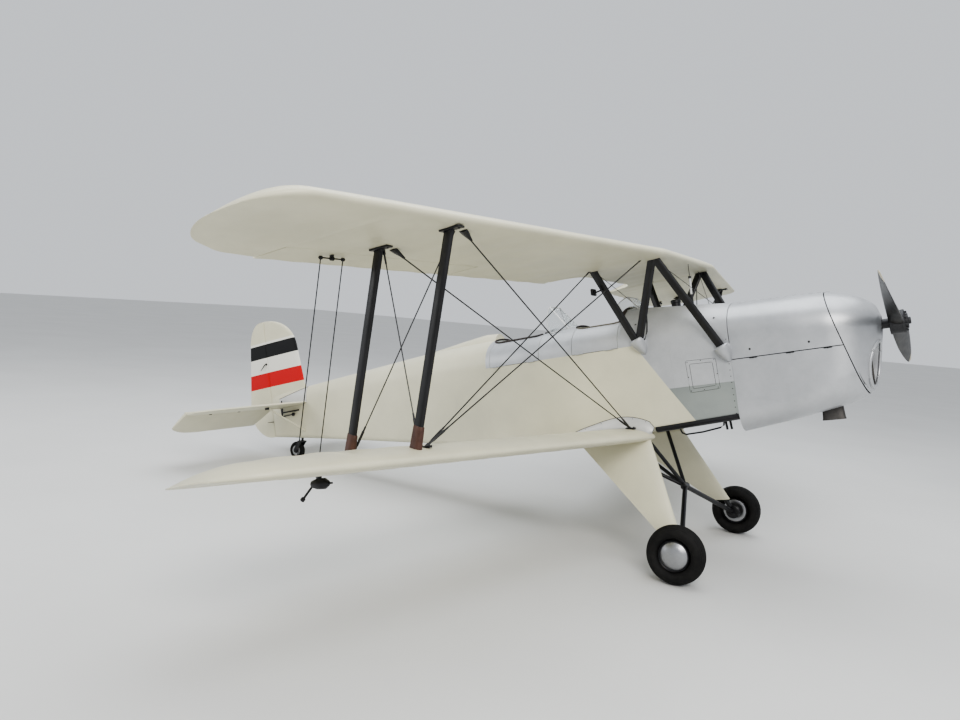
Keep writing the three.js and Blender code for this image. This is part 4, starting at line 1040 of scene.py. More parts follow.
def tail_ring(y, side, rear_x, front_x, turn):
    """Section of the tail plane (turn False) or of the elevator, hung down about its hinge (turn True)."""
    front, back, half = tail_edges(y)
    slack = math.sin(math.pi * y / 190) ** 2
    top = []
    for k in range(17):
        t = 0.5 - 0.5 * math.cos(math.pi * k / 16)
        x = lerp(max(back + 3 * slack, rear_x), min(front, front_x), t)
        f = (x - back) / (front - back)
        top.append((x, half * tail_half(f) - 1.6 * slack * math.sin(math.pi * t)))
    if turn:
        top += [(HINGE_X + HINGE_R * math.sin(a), HINGE_R * math.cos(a)) for a in map(math.radians, (20, 45, 70, 90))]
    points = []
    for x, z in top + [(x, -h) for x, h in top[::-1]]:
        dx = x - HINGE_X
        if turn:
            dx, z = dx * math.cos(DROOP) - z * math.sin(DROOP), dx * math.sin(DROOP) + z * math.cos(DROOP)
        points.append(mirror(side, HINGE_X + dx, y, HINGE_Z + z))
    return points


halves = []
for tag, side in SIDES:
    fixed = [tail_ring(y, side, -5905, 0, False) for y in stations(20, 950, 31) + TAIL_TIP
             if tail_edges(y)[0] > -5895]
    build(f"tailplane_skin_{tag}", loft(fixed), "cream", node=f"tailplane_{tag}", sharp=38)
    inner = [tail_ring(y, side, -5957, HINGE_X, True) for y in stations(70, 229, 31)]
    outer = [tail_ring(y, side, -7000, HINGE_X, True) for y in stations(230, 950, 31) + TAIL_TIP
             if tail_edges(y)[1] < -5950]
    halves.append(loft(inner + outer))
halves.append(rod(level(HINGE_X, -90, HINGE_Z), level(HINGE_X, 90, HINGE_Z), 0.014, 20))
build("elevator_skin", halves, "cream", "elevator", "elevator", 38)
for tag, side in SIDES:
    brace = streamlined((mirror(side, -5700, 520, 24), 0.034, 0.015), (mirror(side, -5640, 78, -262), 0.034, 0.015))
    build(f"tail_brace_{tag}", brace, "cream", node=f"tail_strut_{tag}")
    root = mirror(side, -5958, 74, 2)
    arms = [streamlined((root, 0.040, 0.010), (mirror(side, x, 74, z), 0.016, 0.006))
            for x, z in ((-5962, -88), (-5948, 98))]
    build(f"elevator_horn_{tag}", arms, "black", "elevator")


def bezier(count, *points):
    """Places along a curve after its first point."""
    curve = []
    for k in range(1, count + 1):
        t = k / count
        u = 1 - t
        curve.append([u ** 3 * a + 3 * u * u * t * b + 3 * u * t * t * c + t ** 3 * d for a, b, c, d in zip(*points)])
    return curve


def upright(rows, table, nose):
    """Vertical tail surface: rows of (height, front, rear), table of (station, half thickness)."""
    rings = []
    for z, front, rear in rows:
        slack = math.sin(math.pi * z / 180) ** 2
        half = []
        for k in range(17):
            t = 0.5 - 0.5 * math.cos(math.pi * k / 16)
            x = lerp(front, rear, t)
            h = between(table, x)[1] - 1.2 * slack * math.sin(math.pi * t)
            if front - x < nose:
                h *= math.sqrt(max(0, 1 - (1 - (front - x) / nose) ** 2))
            half.append((x, max(h, 0.4)))
        rings.append([level(x, y, z) for x, y in half + [(x, -h) for x, h in half[::-1]]])
    return loft(rings)


FIN_REAR, RUDDER_FRONT, TAIL_TOP = -6143, -6150, 999
arc = bezier(14, (FIN_REAR, 1000), (-5960, 1004), (-5735, 900), (-5700, 690))
rows = [(min(z, TAIL_TOP), x, FIN_REAR) for x, z in arc]
rows += [(z, -5700 + (690 - z) * 75 / 590, FIN_REAR) for z in stations(140, 660, 30)[::-1]]
build("fin_skin", upright(rows, [(-5500, 3), (-5760, 17), (-6200, 24)], 40), "tail", node="fin", sharp=40)
arc = bezier(14, (-6170, 1000), (-6290, 1004), (-6375, 930), (-6405, 760))
rows = [(min(z, TAIL_TOP), RUDDER_FRONT, x) for x, z in arc]
rows += [(z, RUDDER_FRONT, -6405 - (760 - z) * 105 / 700) for z in stations(60, 730, 30)[::-1]]
arc = bezier(16, (-6510, 60), (-6545, -90), (-6400, -275), (-6225, -290))
rows += [(z, RUDDER_FRONT, x) for x, z in arc]
build("rudder_skin", upright(rows, [(-6000, 22), (-6230, 21), (-6560, 4)], 20), "tail", "rudder", "rudder", 40)
arms = [streamlined((level(-6172, 4 * s, -120), 0.03, 0.008), (level(-6172, 96 * s, -120), 0.012, 0.006))
        for s in (-1, 1)]
build("rudder_horn", arms, "black", "rudder")

# ---- undercarriage ----
AXLE = (-1500, 850, -1400)
# front, back, across, height, thickness
LEG_TOP, LEG_LOW = (-1735, -2330, 396, -612, 66), (-1502, -1650, 706, -1284, 62)
for tag, side in SIDES:
    rings = []
    for k in range(17):
        front, back, y, z, thick = [lerp(p, q, k / 16) for p, q in zip(LEG_TOP, LEG_LOW)]
        middle = mirror(side, (front + back) / 2, y, z)
        rings.append(teardrop(middle, FORWARD, ACROSS * side, (front - back) / 1000, thick / 1000, 16))
    build(f"leg_trouser_{tag}", loft(rings), "cream", node=f"gear_leg_{tag}", sharp=40)
    shank = rod(mirror(side, -1548, 706, -1262), mirror(side, -1512, 716, -1352), 0.019, 24)
    build(f"leg_shank_{tag}", shank, "black")

apex = level(-1646, 0, -1053)
BRAKE = [(0, 0.03), (0, 0.050), (0.004, 0.056), (0.028, 0.057), (0.034, 0.053), (0.034, 0.03)]
parts = []
for _, side in SIDES:
    elbow, stub_end, brake_foot, pipe_foot, pipe_head = [
        mirror(side, AXLE[0] + x, y, AXLE[2] + z)
        for x, y, z in ((0, 735, 0), (0, 896, 0), (0, 722, 0), (20, 720, -40), (-60, 708, 120))]
    parts += [rod(apex, mirror(side, x, 300, z), 0.015, 20) for x, z in ((-1840, -563), (-2300, -593))]
    parts += [rod(apex, elbow, 0.019, 20), rod(elbow, stub_end, 0.0168, 24),
              turned(brake_foot, ACROSS * side, BRAKE), rod(pipe_foot, pipe_head, 0.006)]
parts.append(turned(apex - ACROSS * 0.042, ACROSS, [(0, 0.018), (0.004, 0.026), (0.08, 0.026), (0.084, 0.018)], 28))
build("axle_pyramid", parts, "black", node="axle_frame")

TYRE_MIDDLE, TYRE_HALF, TYRE_DEEP, GROOVE = 155, 75, 51, 2.4
tread = []
for a in circled(96):
    y, r = TYRE_HALF * math.sin(a), TYRE_MIDDLE + TYRE_DEEP * math.cos(a)
    groove = GROOVE if math.cos(a) > 0.55 and (round(y) % 14) < 4 else 0
    tread.append((y / 1000, (r - groove) / 1000))
RIM = [(-0.042, 0.060), (-0.046, 0.066), (-0.050, 0.100), (-0.056, 0.106), (-0.050, 0.1095), (-0.034, 0.104),
       (0.034, 0.104), (0.050, 0.1095), (0.056, 0.106), (0.050, 0.099), (0.040, 0.094), (0.036, 0.088),
       (0.030, 0.060)]
HUB_CAP = [(0.042, 0.099), (0.049, 0.0985), (0.053, 0.095), (0.056, 0.089), (0.064, 0.077), (0.071, 0.059),
           (0.0755, 0.038), (0.0772, 0.016), (0.0775, 0.002)]
INNER_RIM = [(-0.052, 0.062), (-0.0535, 0.066), (-0.0535, 0.090), (-0.052, 0.094), (-0.048, 0.096), (-0.044, 0.062)]
for tag, side in SIDES:
    centre, out, body = mirror(side, *AXLE), ACROSS * side, f"wheel_{tag}"
    rings = [[centre + out * d + Vector((math.cos(t), 0, math.sin(t))) * r for d, r in tread]
             for t in [2 * math.pi * k / 96 for k in range(97)]]
    build(f"tyre_tread_{tag}", loft(rings, False), "rubber", body, f"tyre_{tag}", 28)
    build(f"wheel_rim_{tag}", turned(centre, out, RIM, 72), "black", body, body, 35)
    build(f"hub_cap_{tag}", turned(centre, out, HUB_CAP, 72), "alloy", body, sharp=40)
    build(f"inner_rim_{tag}", turned(centre, out, INNER_RIM, 72), "alloy", body, sharp=40)

TAIL_X, PIVOT_X, TAIL_R, SIDE_Y = -4465, -4400, 95, 36
CROWN = TAIL_R * 2 + 8
axle = ground(TAIL_X, 0, TAIL_R)
profile = [(-0.024, 0.0086), (-0.024, 0.028), (-0.018, 0.034), (-0.017, 0.056), (-0.022, 0.060), (-0.0262, 0.066),
           (-0.0265, 0.078), (-0.022, 0.089), (-0.012, 0.0945), (0, 0.0952)]
profile += [(-d, r) for d, r in profile[-2::-1]]
build("tail_tyre", turned(axle, ACROSS, profile, 64), "rubber", "tail_wheel", "tail_wheel", 35)
profile = [(-0.0235, 0.009), (-0.0235, 0.052), (-0.019, 0.055), (0.019, 0.055), (0.0235, 0.052), (0.0235, 0.009)]
build("tail_hub", turned(axle, ACROSS, profile), "alloy", "tail_wheel", sharp=35)
outline = [(PIVOT_X + 26, CROWN + 12), (PIVOT_X - 34, CROWN + 12)]
outline += [(TAIL_X + x, TAIL_R + z) for x, z in ((-20, 6), (-16, -10), (-6, -17), (6, -17), (16, -10), (22, 6))]
parts = [loft([[ground(x, s * SIDE_Y + half, z) for x, z in outline] for half in (-3.5, 3.5)]) for s in (1, -1)]
parts.append(brick((PIVOT_X - 34, -SIDE_Y, CROWN), (PIVOT_X + 26, SIDE_Y, CROWN + 12), ground))
parts.append(rod(ground(PIVOT_X, 0, CROWN + 6), ground(PIVOT_X, 0, CROWN + 44), 0.013, 24))
parts.append(rod(ground(TAIL_X, -SIDE_Y - 8, TAIL_R), ground(TAIL_X, SIDE_Y + 8, TAIL_R), 0.0078, 20))
build("tail_fork_plates", parts, "black", "tail_fork", "tail_fork")

# ---- propeller and exhaust ----
# radius, chord, thickness, pitch in degrees
BLADE = [(0, 110, 88, 60), (110, 112, 70, 52), (260, 140, 42, 40), (480, 158, 28, 30), (720, 142, 19, 23),
         (880, 108, 13, 19), (965, 66, 9, 17), (998, 26, 6, 17)]
RADII = [0, 60, 110, 150, 190, 230, 260, 300, 350, 400, 450, 500, 560, 620, 680, 740, 800, 850, 890, 925, 950, 970,
         984, 993, 998]
SHAFT = [(-50, 20), (-50, 78), (-46, 82), (-30, 82), (-28, 80), (28, 80), (30, 82), (44, 82), (48, 78), (48, 54),
         (50, 52), (64, 52), (66, 50), (66, 26), (68, 24), (78, 24), (82, 20)]
ahead = Vector((1, 0, 0))
blade_up = Vector((0, -math.sin(LEAN), math.cos(LEAN)))
blade_side = ahead.cross(blade_up)
section = []
for a in circled(28):
    v = math.sin(a)
    section.append((0.5 * math.cos(a), v * (0.5 - 0.16 * math.cos(a)) if v > 0 else v * 0.26))
parts = []
for sign in (1, -1):
    rings = []
    for r in RADII:
        chord, thick, pitch = smoothed(BLADE, r)
        tip = math.sqrt(max(0.04, 1 - ((r - 900) / 100) ** 2)) if r > 900 else 1.0
        pitch = math.radians(pitch)
        chord_dir = blade_side * (math.cos(pitch) * sign) + ahead * math.sin(pitch)
        radial = blade_up * sign
        thick_dir = chord_dir.cross(radial)
        rings.append([level(*(radial * r + chord_dir * (u * chord * (0.35 + 0.65 * tip)) + thick_dir * (v * thick)))
                      for u, v in section])
    parts.append(loft(rings))
build("propeller_blades", parts, "wood", "propeller", "propeller", 50)
parts = [turned(level(0, 0, 0), FORWARD, [(d / 1000, r / 1000) for d, r in SHAFT], 64),
         rod(level(-159, 0, 0), level(-48, 0, 0), 0.034, 32)]
bolt = [(0, 0.010), (0.004, 0.010), (0.005, 0.0075), (0.014, 0.0075), (0.0155, 0.006)]
parts += [turned(level(46, 66 * math.cos(a), 66 * math.sin(a)), FORWARD, bolt, 6) for a in circled(8, 0.5)]
build("propeller_hub", parts, "steel", "propeller", sharp=30)


def squared(count, power, wide, tall):
    """Ring of a rounded rectangle as pairs."""
    return [(wide * math.copysign(abs(math.cos(t)) ** power, math.cos(t)),
             tall * math.copysign(abs(math.sin(t)) ** power, math.sin(t))) for t in circled(count)]


# height, growth of the mouth
DUCT = [(-400.3, 0), (-520, 0), (-612, 0), (-618, 2), (-624, 2), (-624, -4), (-520, -4), (-470, -4)]
rings = [[level(-475 + u, -100 + v, z) for u, v in squared(40, 0.6, 62 + 0.06 * (-400 - z) + grow, 32 + grow)]
         for z, grow in DUCT]
build("exhaust_duct", loft(rings), "iron", node="exhaust_stub", sharp=40)

# ---- engine: four cylinders hanging from the crankcase, seen when the cowl doors are open ----
BORES = (-370, -525, -680, -835)
FLANGES = (-912, -757, -602, -447, -296)

# station, half width, low, high
case = [(-934, 70, -40, 30), (-930, 84, -52, 44), (-912, 96, -60, 58)]
for x in FLANGES:
    case += [(x + 0.1, 96, -60, 60), (x + 0.2, 106, -62, 70), (x + 14, 106, -62, 70), (x + 14.1, 96, -60, 60)]
case += [(-272, 88, -56, 52), (-262, 78, -50, 44), (-240, 70, -44, 42), (-175, 52, -36, 36), (-170, 44, -30, 30)]
rings = [[level(x, u, (low + high) / 2 + v) for u, v in squared(40, 0.42, wide, (high - low) / 2)]
         for x, wide, low, high in case]
build("crankcase", loft(rings), "iron", node="engine_block", sharp=40)

# height, half length, half width
COVER = ((-322, 52, 58), (-330, 58, 66), (-372, 58, 66), (-388, 50, 58), (-394, 36, 44))
finned = []
for k in range(6):
    top = -258 - 12 * k
    finned += [(top, 54, 60), (top - 0.5, 64, 78), (top - 5, 64, 78), (top - 5.5, 54, 60)]
barrel = [(0, 0.052)]
for k in range(15):
    d = 0.010 + 0.0125 * k
    barrel += [(d, 0.050), (d + 0.0015, 0.066), (d + 0.0045, 0.066), (d + 0.006, 0.050)]
barrel.append((0.205, 0.050))


def stack(x, rows):
    return loft([[level(x + u, v, at) for u, v in squared(36, 0.5, long, wide)] for at, long, wide in rows])


build("cylinder_barrels", [turned(level(x, 0, -58), -UP, barrel, 40) for x in BORES], "steel", sharp=40)
build("cylinder_heads", [stack(x, finned) for x in BORES], "alloy", sharp=40)
build("rocker_covers", [stack(x, COVER) for x in BORES], "alloy", sharp=50)
studs = [rod(level(x + u, v, -330), level(x + u, v, -399), 0.0045, 10)
         for x in BORES for u in (-40, 40) for v in (-34, 34)]
build("rocker_studs", studs, "steel")


def pipe(places, radii, sides=16):
    return tube([level(*p) for p in places], radii, sides)


collector = [(-880, -124, -318), (-840, -124, -320), (-420, -124, -322), (-340, -124, -318)]
hot = [pipe(collector, [0.010, 0.024, 0.026, 0.014], 20),
       pipe([(-475, -122, -322), (-475, -116, -350), (-475, -102, -399)], 0.024, 20)]
hot += [pipe([(x, -72, -290), (x, -100, -294), (x, -122, -318)], 0.017) for x in BORES]
build("exhaust_manifold", hot, "iron", sharp=50)
chamber = [(0, 0.020), (0.02, 0.026), (0.06, 0.026), (0.065, 0.034), (0.095, 0.034), (0.1, 0.02)]
cold = [pipe([(-860, 118, -300), (-600, 118, -306), (-345, 118, -300)], 0.017),
        turned(level(-602, 118, -300), -UP, chamber, 28)]
cold += [pipe([(x, 72, -286), (x, 98, -288), (x, 117, -300)], 0.014) for x in BORES]
build("inlet_manifold", cold, "alloy", sharp=50)

leads, magnetos, lugs = [], [], []
drum = [(0, 0.02), (0.002, 0.036), (0.05, 0.036), (0.053, 0.03), (0.085, 0.03), (0.092, 0.016)]
for _, side in SIDES:
    magnetos.append(turned(mirror(side, -932, 52, 8), -FORWARD, drum, 28))
    for k, x in enumerate(BORES):
        lead = [(-1016, 44 + 5 * k, 12), (-1024, 70 + 8 * k, -2), (-990, 124, -20 + 6 * k),
                (x - 60, 124, -20 + 6 * k), (x - 12, 112, -90), (x, 86, -268)]
        leads.append(tube([mirror(side, *p) for p in lead], 0.0034, 8))
        leads.append(rod(mirror(side, x, 74, -272), mirror(side, x, 92, -266), 0.007))
    near, far = sorted((side * 100, side * 148))
    lugs += [brick((x - 22, near, -52), (x + 22, far, -20)) for x in (-895, -330)]
    lugs.append(loft([[level(x, side * 150 + u, -35 + v) for u, v in squared(24, 0.35, 20, 25)]
                      for x in (-1059.6, -1056, -306, -300)]))
build("magnetos", magnetos, "black", sharp=50)
build("ignition_leads", leads, "black", sharp=60)
build("engine_bearers", lugs, "steel")
cap = [(0, 0.022), (0.03, 0.020), (0.031, 0.030), (0.044, 0.030), (0.047, 0.024)]
bolts = [turned(level(-820, 60, 50), UP, cap, 24)]
bolts += [turned(level(x + 7, y, 66), UP, [(0, 0.007), (0.007, 0.007), (0.009, 0.004)], 6)
          for x in FLANGES for y in (-70, 0, 70)]
build("crankcase_bolts", bolts, "steel")

# ---- cockpits ----
RIBBON = ((-1, 0), (-1, 0.6), (-0.88, 1), (0.88, 1), (1, 0.6), (1, 0), (0.88, -0.2), (-0.88, -0.2))


def ribbon(points, outs, width, thick):
    """Flat band along points with rounded edges; outs are the directions of its face."""
    rings = []
    for i, p in enumerate(points):
        axis = (points[min(i + 1, len(points) - 1)] - points[max(i - 1, 0)]).normalized()
        out = (outs[i] - axis * outs[i].dot(axis)).normalized()
        across = axis.cross(out)
        rings.append([p + across * (a * width / 2) + out * (b * thick) for a, b in RIBBON])
    return loft(rings)


def screws(name, places, normal, radius=0.0035, material="steel", body="airframe"):
    """Dome-headed screws."""
    profile = [(-0.001, radius), (0.0006, radius), (0.0016, radius * 0.75), (0.002, radius * 0.3)]
    build(name, [turned(p, normal, profile, 10) for p in places], material, body)


# across, back from the front facet
SCREEN_PLAN = [(-215, 150), (-125, 0), (125, 0), (215, 150)]
SCREEN_FOOT = 340


def screen_plan(t):
    """Across the three facets of a windscreen, t from 0 to 3."""
    k = min(2, int(t))
    return [lerp(a, b, t - k) for a, b in zip(SCREEN_PLAN[k], SCREEN_PLAN[k + 1])]


for name, front, top in (("front", -1745, 505), ("rear", -2420, 545)):
    def on_screen(y, back, z):
        rise = z - SCREEN_FOOT
        return front - 0.9 * back - 0.75 * rise, y * (1 - rise / 1100), z

    low = []
    for y, back in [screen_plan(k / 8) for k in range(25)]:
        z = SCREEN_FOOT
        for _ in range(10):
            z = deck_height(*on_screen(y, back, z)[:2]) + 2
        low.append((y, back, z))
    edge = [(y, back, top - max(0, top - z - 45) * (back / 150) ** 1.2) for y, back, z in low]
    grid = [[level(*on_screen(y, back, lerp(z0, z1, u / 10))) for (y, back, z0), (_, _, z1) in zip(low, edge)]
            for u in range(11)]
    build(f"screen_{name}", sheet(grid), "glass", node=f"windscreen_{name}", sharp=25, shell=0.003)
    foot = [level(*on_screen(*p)) + FORWARD * 0.004 for p in low]
    lean = (UP + FORWARD * 0.35).normalized()
    rim = [level(*on_screen(*p)) for p in [low[0]] + edge + [low[-1]]]
    frames = [ribbon(foot, [lean] * len(foot), 0.022, 0.0025), tube(rim, 0.0042, 10)]
    for t in (8, 16):
        face = (grid[5][t] - level(front - 400, 0, 440)).normalized()
        frames.append(ribbon([row[t] + face * 0.001 for row in grid], [face] * len(grid), 0.016, 0.0022))
    build(f"screen_frame_{name}", frames, "bright", sharp=40)
    screws(f"screen_screws_{name}", [p + lean * 0.0026 for p in foot[1:-1:2]], lean)


def dense(points, step):
    """Closed outline with points every step."""
    out = []
    for a, b in zip(points, points[1:] + points[:1]):
        count = max(1, math.ceil(math.dist(a, b) / step))
        out += [(lerp(a[0], b[0], k / count), lerp(a[1], b[1], k / count)) for k in range(count)]
    return out


# leather rolls round the openings, split where the doors are
for name, (start, end, front, back) in COCKPITS.items():
    def part_of(p):
        if back + 8 < p[0] < front - 8 and abs(p[1]) > 180:
            return "l" if p[1] > 0 else "r"
        return "fore" if p[0] >= front - 2 else "aft" if p[0] <= back + 2 else ""

    outline = dense(opening_outline(start, end, OPENING_HALF - 4, 108, 20), 9)
    turn = next(i for i, p in enumerate(outline) if part_of(p) == "l" and part_of(outline[i - 1]) != "l")
    runs = {}
    for p in outline[turn:] + outline[:turn]:
        runs.setdefault(part_of(p), []).append(p)
    middle = level((start + end) / 2, 0, 330)
    for part in ("fore", "aft", "l", "r"):
        on_door = part in "lr"
        places = [level(x, y, deck_height(min(x, RAISED_END - 1), y) + (2 if on_door else -1)) for x, y in runs[part]]
        thick = {"fore": 0.010, "aft": 0.008}.get(part, 0.0095 if name == "rear" else 0.0065)
        radii = [thick * (1 + 0.035 * math.sin(i * 1.7) * math.sin(i * 0.61)) for i in range(len(places))]
        radii[0] = radii[-1] = thick * 0.6
        welt = []
        for p in places:
            away = ((p - middle) * Vector((1, 1, 0))).normalized()
            welt.append(p + away * (thick - 0.0006) - UP * 0.002)
        roll = build(f"coaming_{name}_{part}", [tube(places, radii), tube(welt, 0.0022, 8)],
                     "webbing" if name == "front" and on_door else "leather",
                     f"door_{name}_{part}" if on_door else "airframe", sharp=60)

# leather roll on the raised edge ahead of the front cockpit
places = [level(RAISED_END + 1, y, deck_height(RAISED_END, y) - 2) for y in stations(-262, 262, 524 / 48)]
radii = [0.008] + [0.017 * (1 + 0.03 * math.sin(i * 1.9)) for i in range(47)] + [0.008]
brow = build("coaming_brow", tube(places, radii), "leather", sharp=60)

# instrument boards: dials as (across, height, radius)
DIALS = [(-165, 232, 36), (-58, 240, 42), (58, 240, 42), (165, 232, 36),
         (-112, 136, 34), (0, 138, 30), (112, 136, 34)]
KNOB = [(0, 0.008), (0.014, 0.008), (0.018, 0.011), (0.026, 0.011), (0.029, 0.007)]
BACKWARD = -FORWARD
for name, x, raised in (("front", -1866, True), ("rear", -2566, False)):
    _, half, top, shoulder, bottom = frame_at(x)
    top = raised_crest(x) if raised else top
    ring = {(y, z) for _, y, z in body_ring(x, half - 24, top - 24, shoulder, bottom) if z >= shoulder}
    arch = sorted(ring, key=lambda p: math.atan2(p[1] - 60, p[0]))
    outline = [(half - 26, 56)] + arch + [(-half + 26, 56)]
    rings = [[level(face_x, y, z) for y, z in outline] for face_x in (x, x - 1.5, x - 8)]
    build(f"instrument_board_{name}", loft(rings), "dark")
    bezels, faces, marks = [], [], []
    for y, z, r in DIALS:
        at = level(x - 8, y, z + 30 if raised else z)
        r /= 1000
        bezels.append(turned(at, BACKWARD, [(-0.002, r + 0.006), (0.006, r + 0.006), (0.010, r + 0.003), (0.010, r),
                                            (0.002, r - 0.001)], 40))
        faces.append(turned(at, BACKWARD, [(0.001, r), (0.0045, r)], 40))
        for a in circled(12):
            out = UP * math.cos(a) + ACROSS * math.sin(a)
            begin = at + BACKWARD * 0.0048 + out * (r * 0.78)
            marks.append(ribbon([begin, begin + out * (r * 0.16)], [BACKWARD] * 2, 0.0018, 0.0004))
        a = 0.9 + 0.013 * y
        out = UP * math.cos(a) + ACROSS * math.sin(a)
        hub = at + BACKWARD * 0.0062
        marks.append(ribbon([hub - out * (r * 0.2), hub + out * (r * 0.72)], [BACKWARD] * 2, 0.0024, 0.0006))
        marks.append(turned(hub, BACKWARD, [(0, 0.004), (0.0014, 0.0035)], 12))
    bezels += [turned(level(x - 7, y, 80), BACKWARD, KNOB, 16) for y in (-200, -150, 150, 200)]
    build(f"dial_bezels_{name}", bezels, "black")
    build(f"dial_faces_{name}", faces, "dial")
    build(f"dial_marks_{name}", marks, "bright")

# ---- seats ----
BEND_START, BEND_END = 0.42, 0.56
WALL, WALL_FRONT, WALL_TOP = 92, 24, 16


def seat_profile(u):
    """Along the pan and up the back: place (forward, up) and the direction that faces the sitter."""
    if u < BEND_START:
        t = u / BEND_START
        return Vector((lerp(338, 62, t), lerp(-240, -256, t))), Vector((0.03, 1)).normalized()
    if u < BEND_END:
        a = (u - BEND_START) / (BEND_END - BEND_START) * math.pi / 2
        return Vector((62 - 52 * math.sin(a), -204 - 52 * math.cos(a))), Vector((math.sin(a), math.cos(a)))
    return Vector((10, lerp(-204, 198, (u - BEND_END) / (1 - BEND_END)))), Vector((1, 0))


def seat_rows(back_x):
    """Bucket seat with side walls that fall to the front and to the top."""
    rows = []
    for i in range(45):
        u = i / 44
        place, face = seat_profile(u)
        wall = WALL if u < BEND_END else lerp(WALL, WALL_TOP, ((u - BEND_END) / (1 - BEND_END)) ** 0.7)
        if u < 0.14:
            wall = lerp(WALL_FRONT, WALL, u / 0.14)
        row = []
        for j in range(37):
            v = -1 + 2 * j / 36
            s = abs(v)
            if s < 0.72:
                across, lift = s / 0.72 * 160, 4 * (s / 0.72) ** 2
            else:
                q = (s - 0.72) / 0.28
                a = min(1, q / 0.4) * math.pi / 2
                across = 160 + 26 * math.sin(a)
                lift = 4 + 26 * (1 - math.cos(a)) + max(0, q - 0.4) / 0.6 * max(0, wall - 30)
            row.append(level(back_x + place.x + face.x * lift, math.copysign(across, v) if v else 0.0,
                             place.y + face.y * lift))
        rows.append(row)
    return rows


def pillow(length, width, height, rings=13, around=48):
    """Closed pillow about its middle, flat below and crowned above."""
    out = []
    for i in range(rings):
        a = -math.pi / 2 + math.pi * i / (rings - 1)
        shrink = math.cos(a) ** 0.35 if 0 < i < rings - 1 else 0.02
        z = height / 2 * (math.copysign(abs(math.sin(a)) ** 0.8, math.sin(a)))
        out.append([Vector((x, y, z)) for x, y in squared(around, 0.42, length / 2 * shrink, width / 2 * shrink)])
    return loft(out)


CROWN_RISE, CHANNEL_DEPTH, CHANNEL_WIDTH = 0.010, 0.0065, 0.0065


def stuffed(name, length, width, height, channels, cap=0.009):
    """Leather pad about its middle: swollen by cloth pressure, flat below, with sewn channels and a welt."""
    pad = raw(name, pillow(length, width, height))
    modified(pad, "REMESH", mode="VOXEL", voxel_size=0.006)
    begin = [v.co.copy() for v in pad.data.vertices]
    cloth = pad.modifiers.new("cloth", "CLOTH")
    cloth.settings.use_pressure = True
    cloth.settings.uniform_pressure_force = 4
    cloth.settings.effector_weights.gravity = 0
    cloth.point_cache.frame_start = 1
    cloth.point_cache.frame_end = 20
    for number in range(1, 21):
        bpy.context.scene.frame_set(number)
    bake(pad)
    bpy.context.scene.frame_set(1)
    for vertex, home in zip(pad.data.vertices, begin):
        move = vertex.co - home
        if move.length > cap:
            vertex.co = home + move.normalized() * cap
        p = vertex.co
        if p.z > 0:
            crown = (1 - (2 * p.x / length) ** 2) * (1 - (2 * p.y / width) ** 2)
            p.z += CROWN_RISE * max(0, crown)
            inside = min(1, max(0, 1.1 - abs(2 * p.y / width)) * 5)
            for line in channels:
                p.z -= CHANNEL_DEPTH * math.exp(-((p.x - line) / CHANNEL_WIDTH) ** 2) * inside
        p.z = max(p.z, -height / 2)
    modified(pad, "SUBSURF", 70, levels=1)
    tree = BVHTree.FromPolygons([v.co for v in pad.data.vertices], [p.vertices for p in pad.data.polygons])
    welt = []
    for t in circled(96) + [2 * math.pi]:
        out = Vector((math.cos(t), math.sin(t), 0))
        hit = tree.ray_cast(out * 1.0 + Vector((0, 0, height * 0.12)), -out)[0]
        welt.append(hit - out * 0.0005)
    return pad, raw(f"{name}_welt", tube(welt, 0.0034, 8, caps=False))


def placed(source, name, place):
    twin = linked(name, source.data.copy())
    twin.data.transform(place)
    twin.data.update()
    return dress(twin, "saddle", "airframe")


CUSHION = stuffed("cushion", 0.285, 0.318, 0.052, (-0.07, 0.0, 0.07))
BACK_PAD = stuffed("back_pad", 0.335, 0.280, 0.030, (-0.10, -0.035, 0.03, 0.095), 0.007)
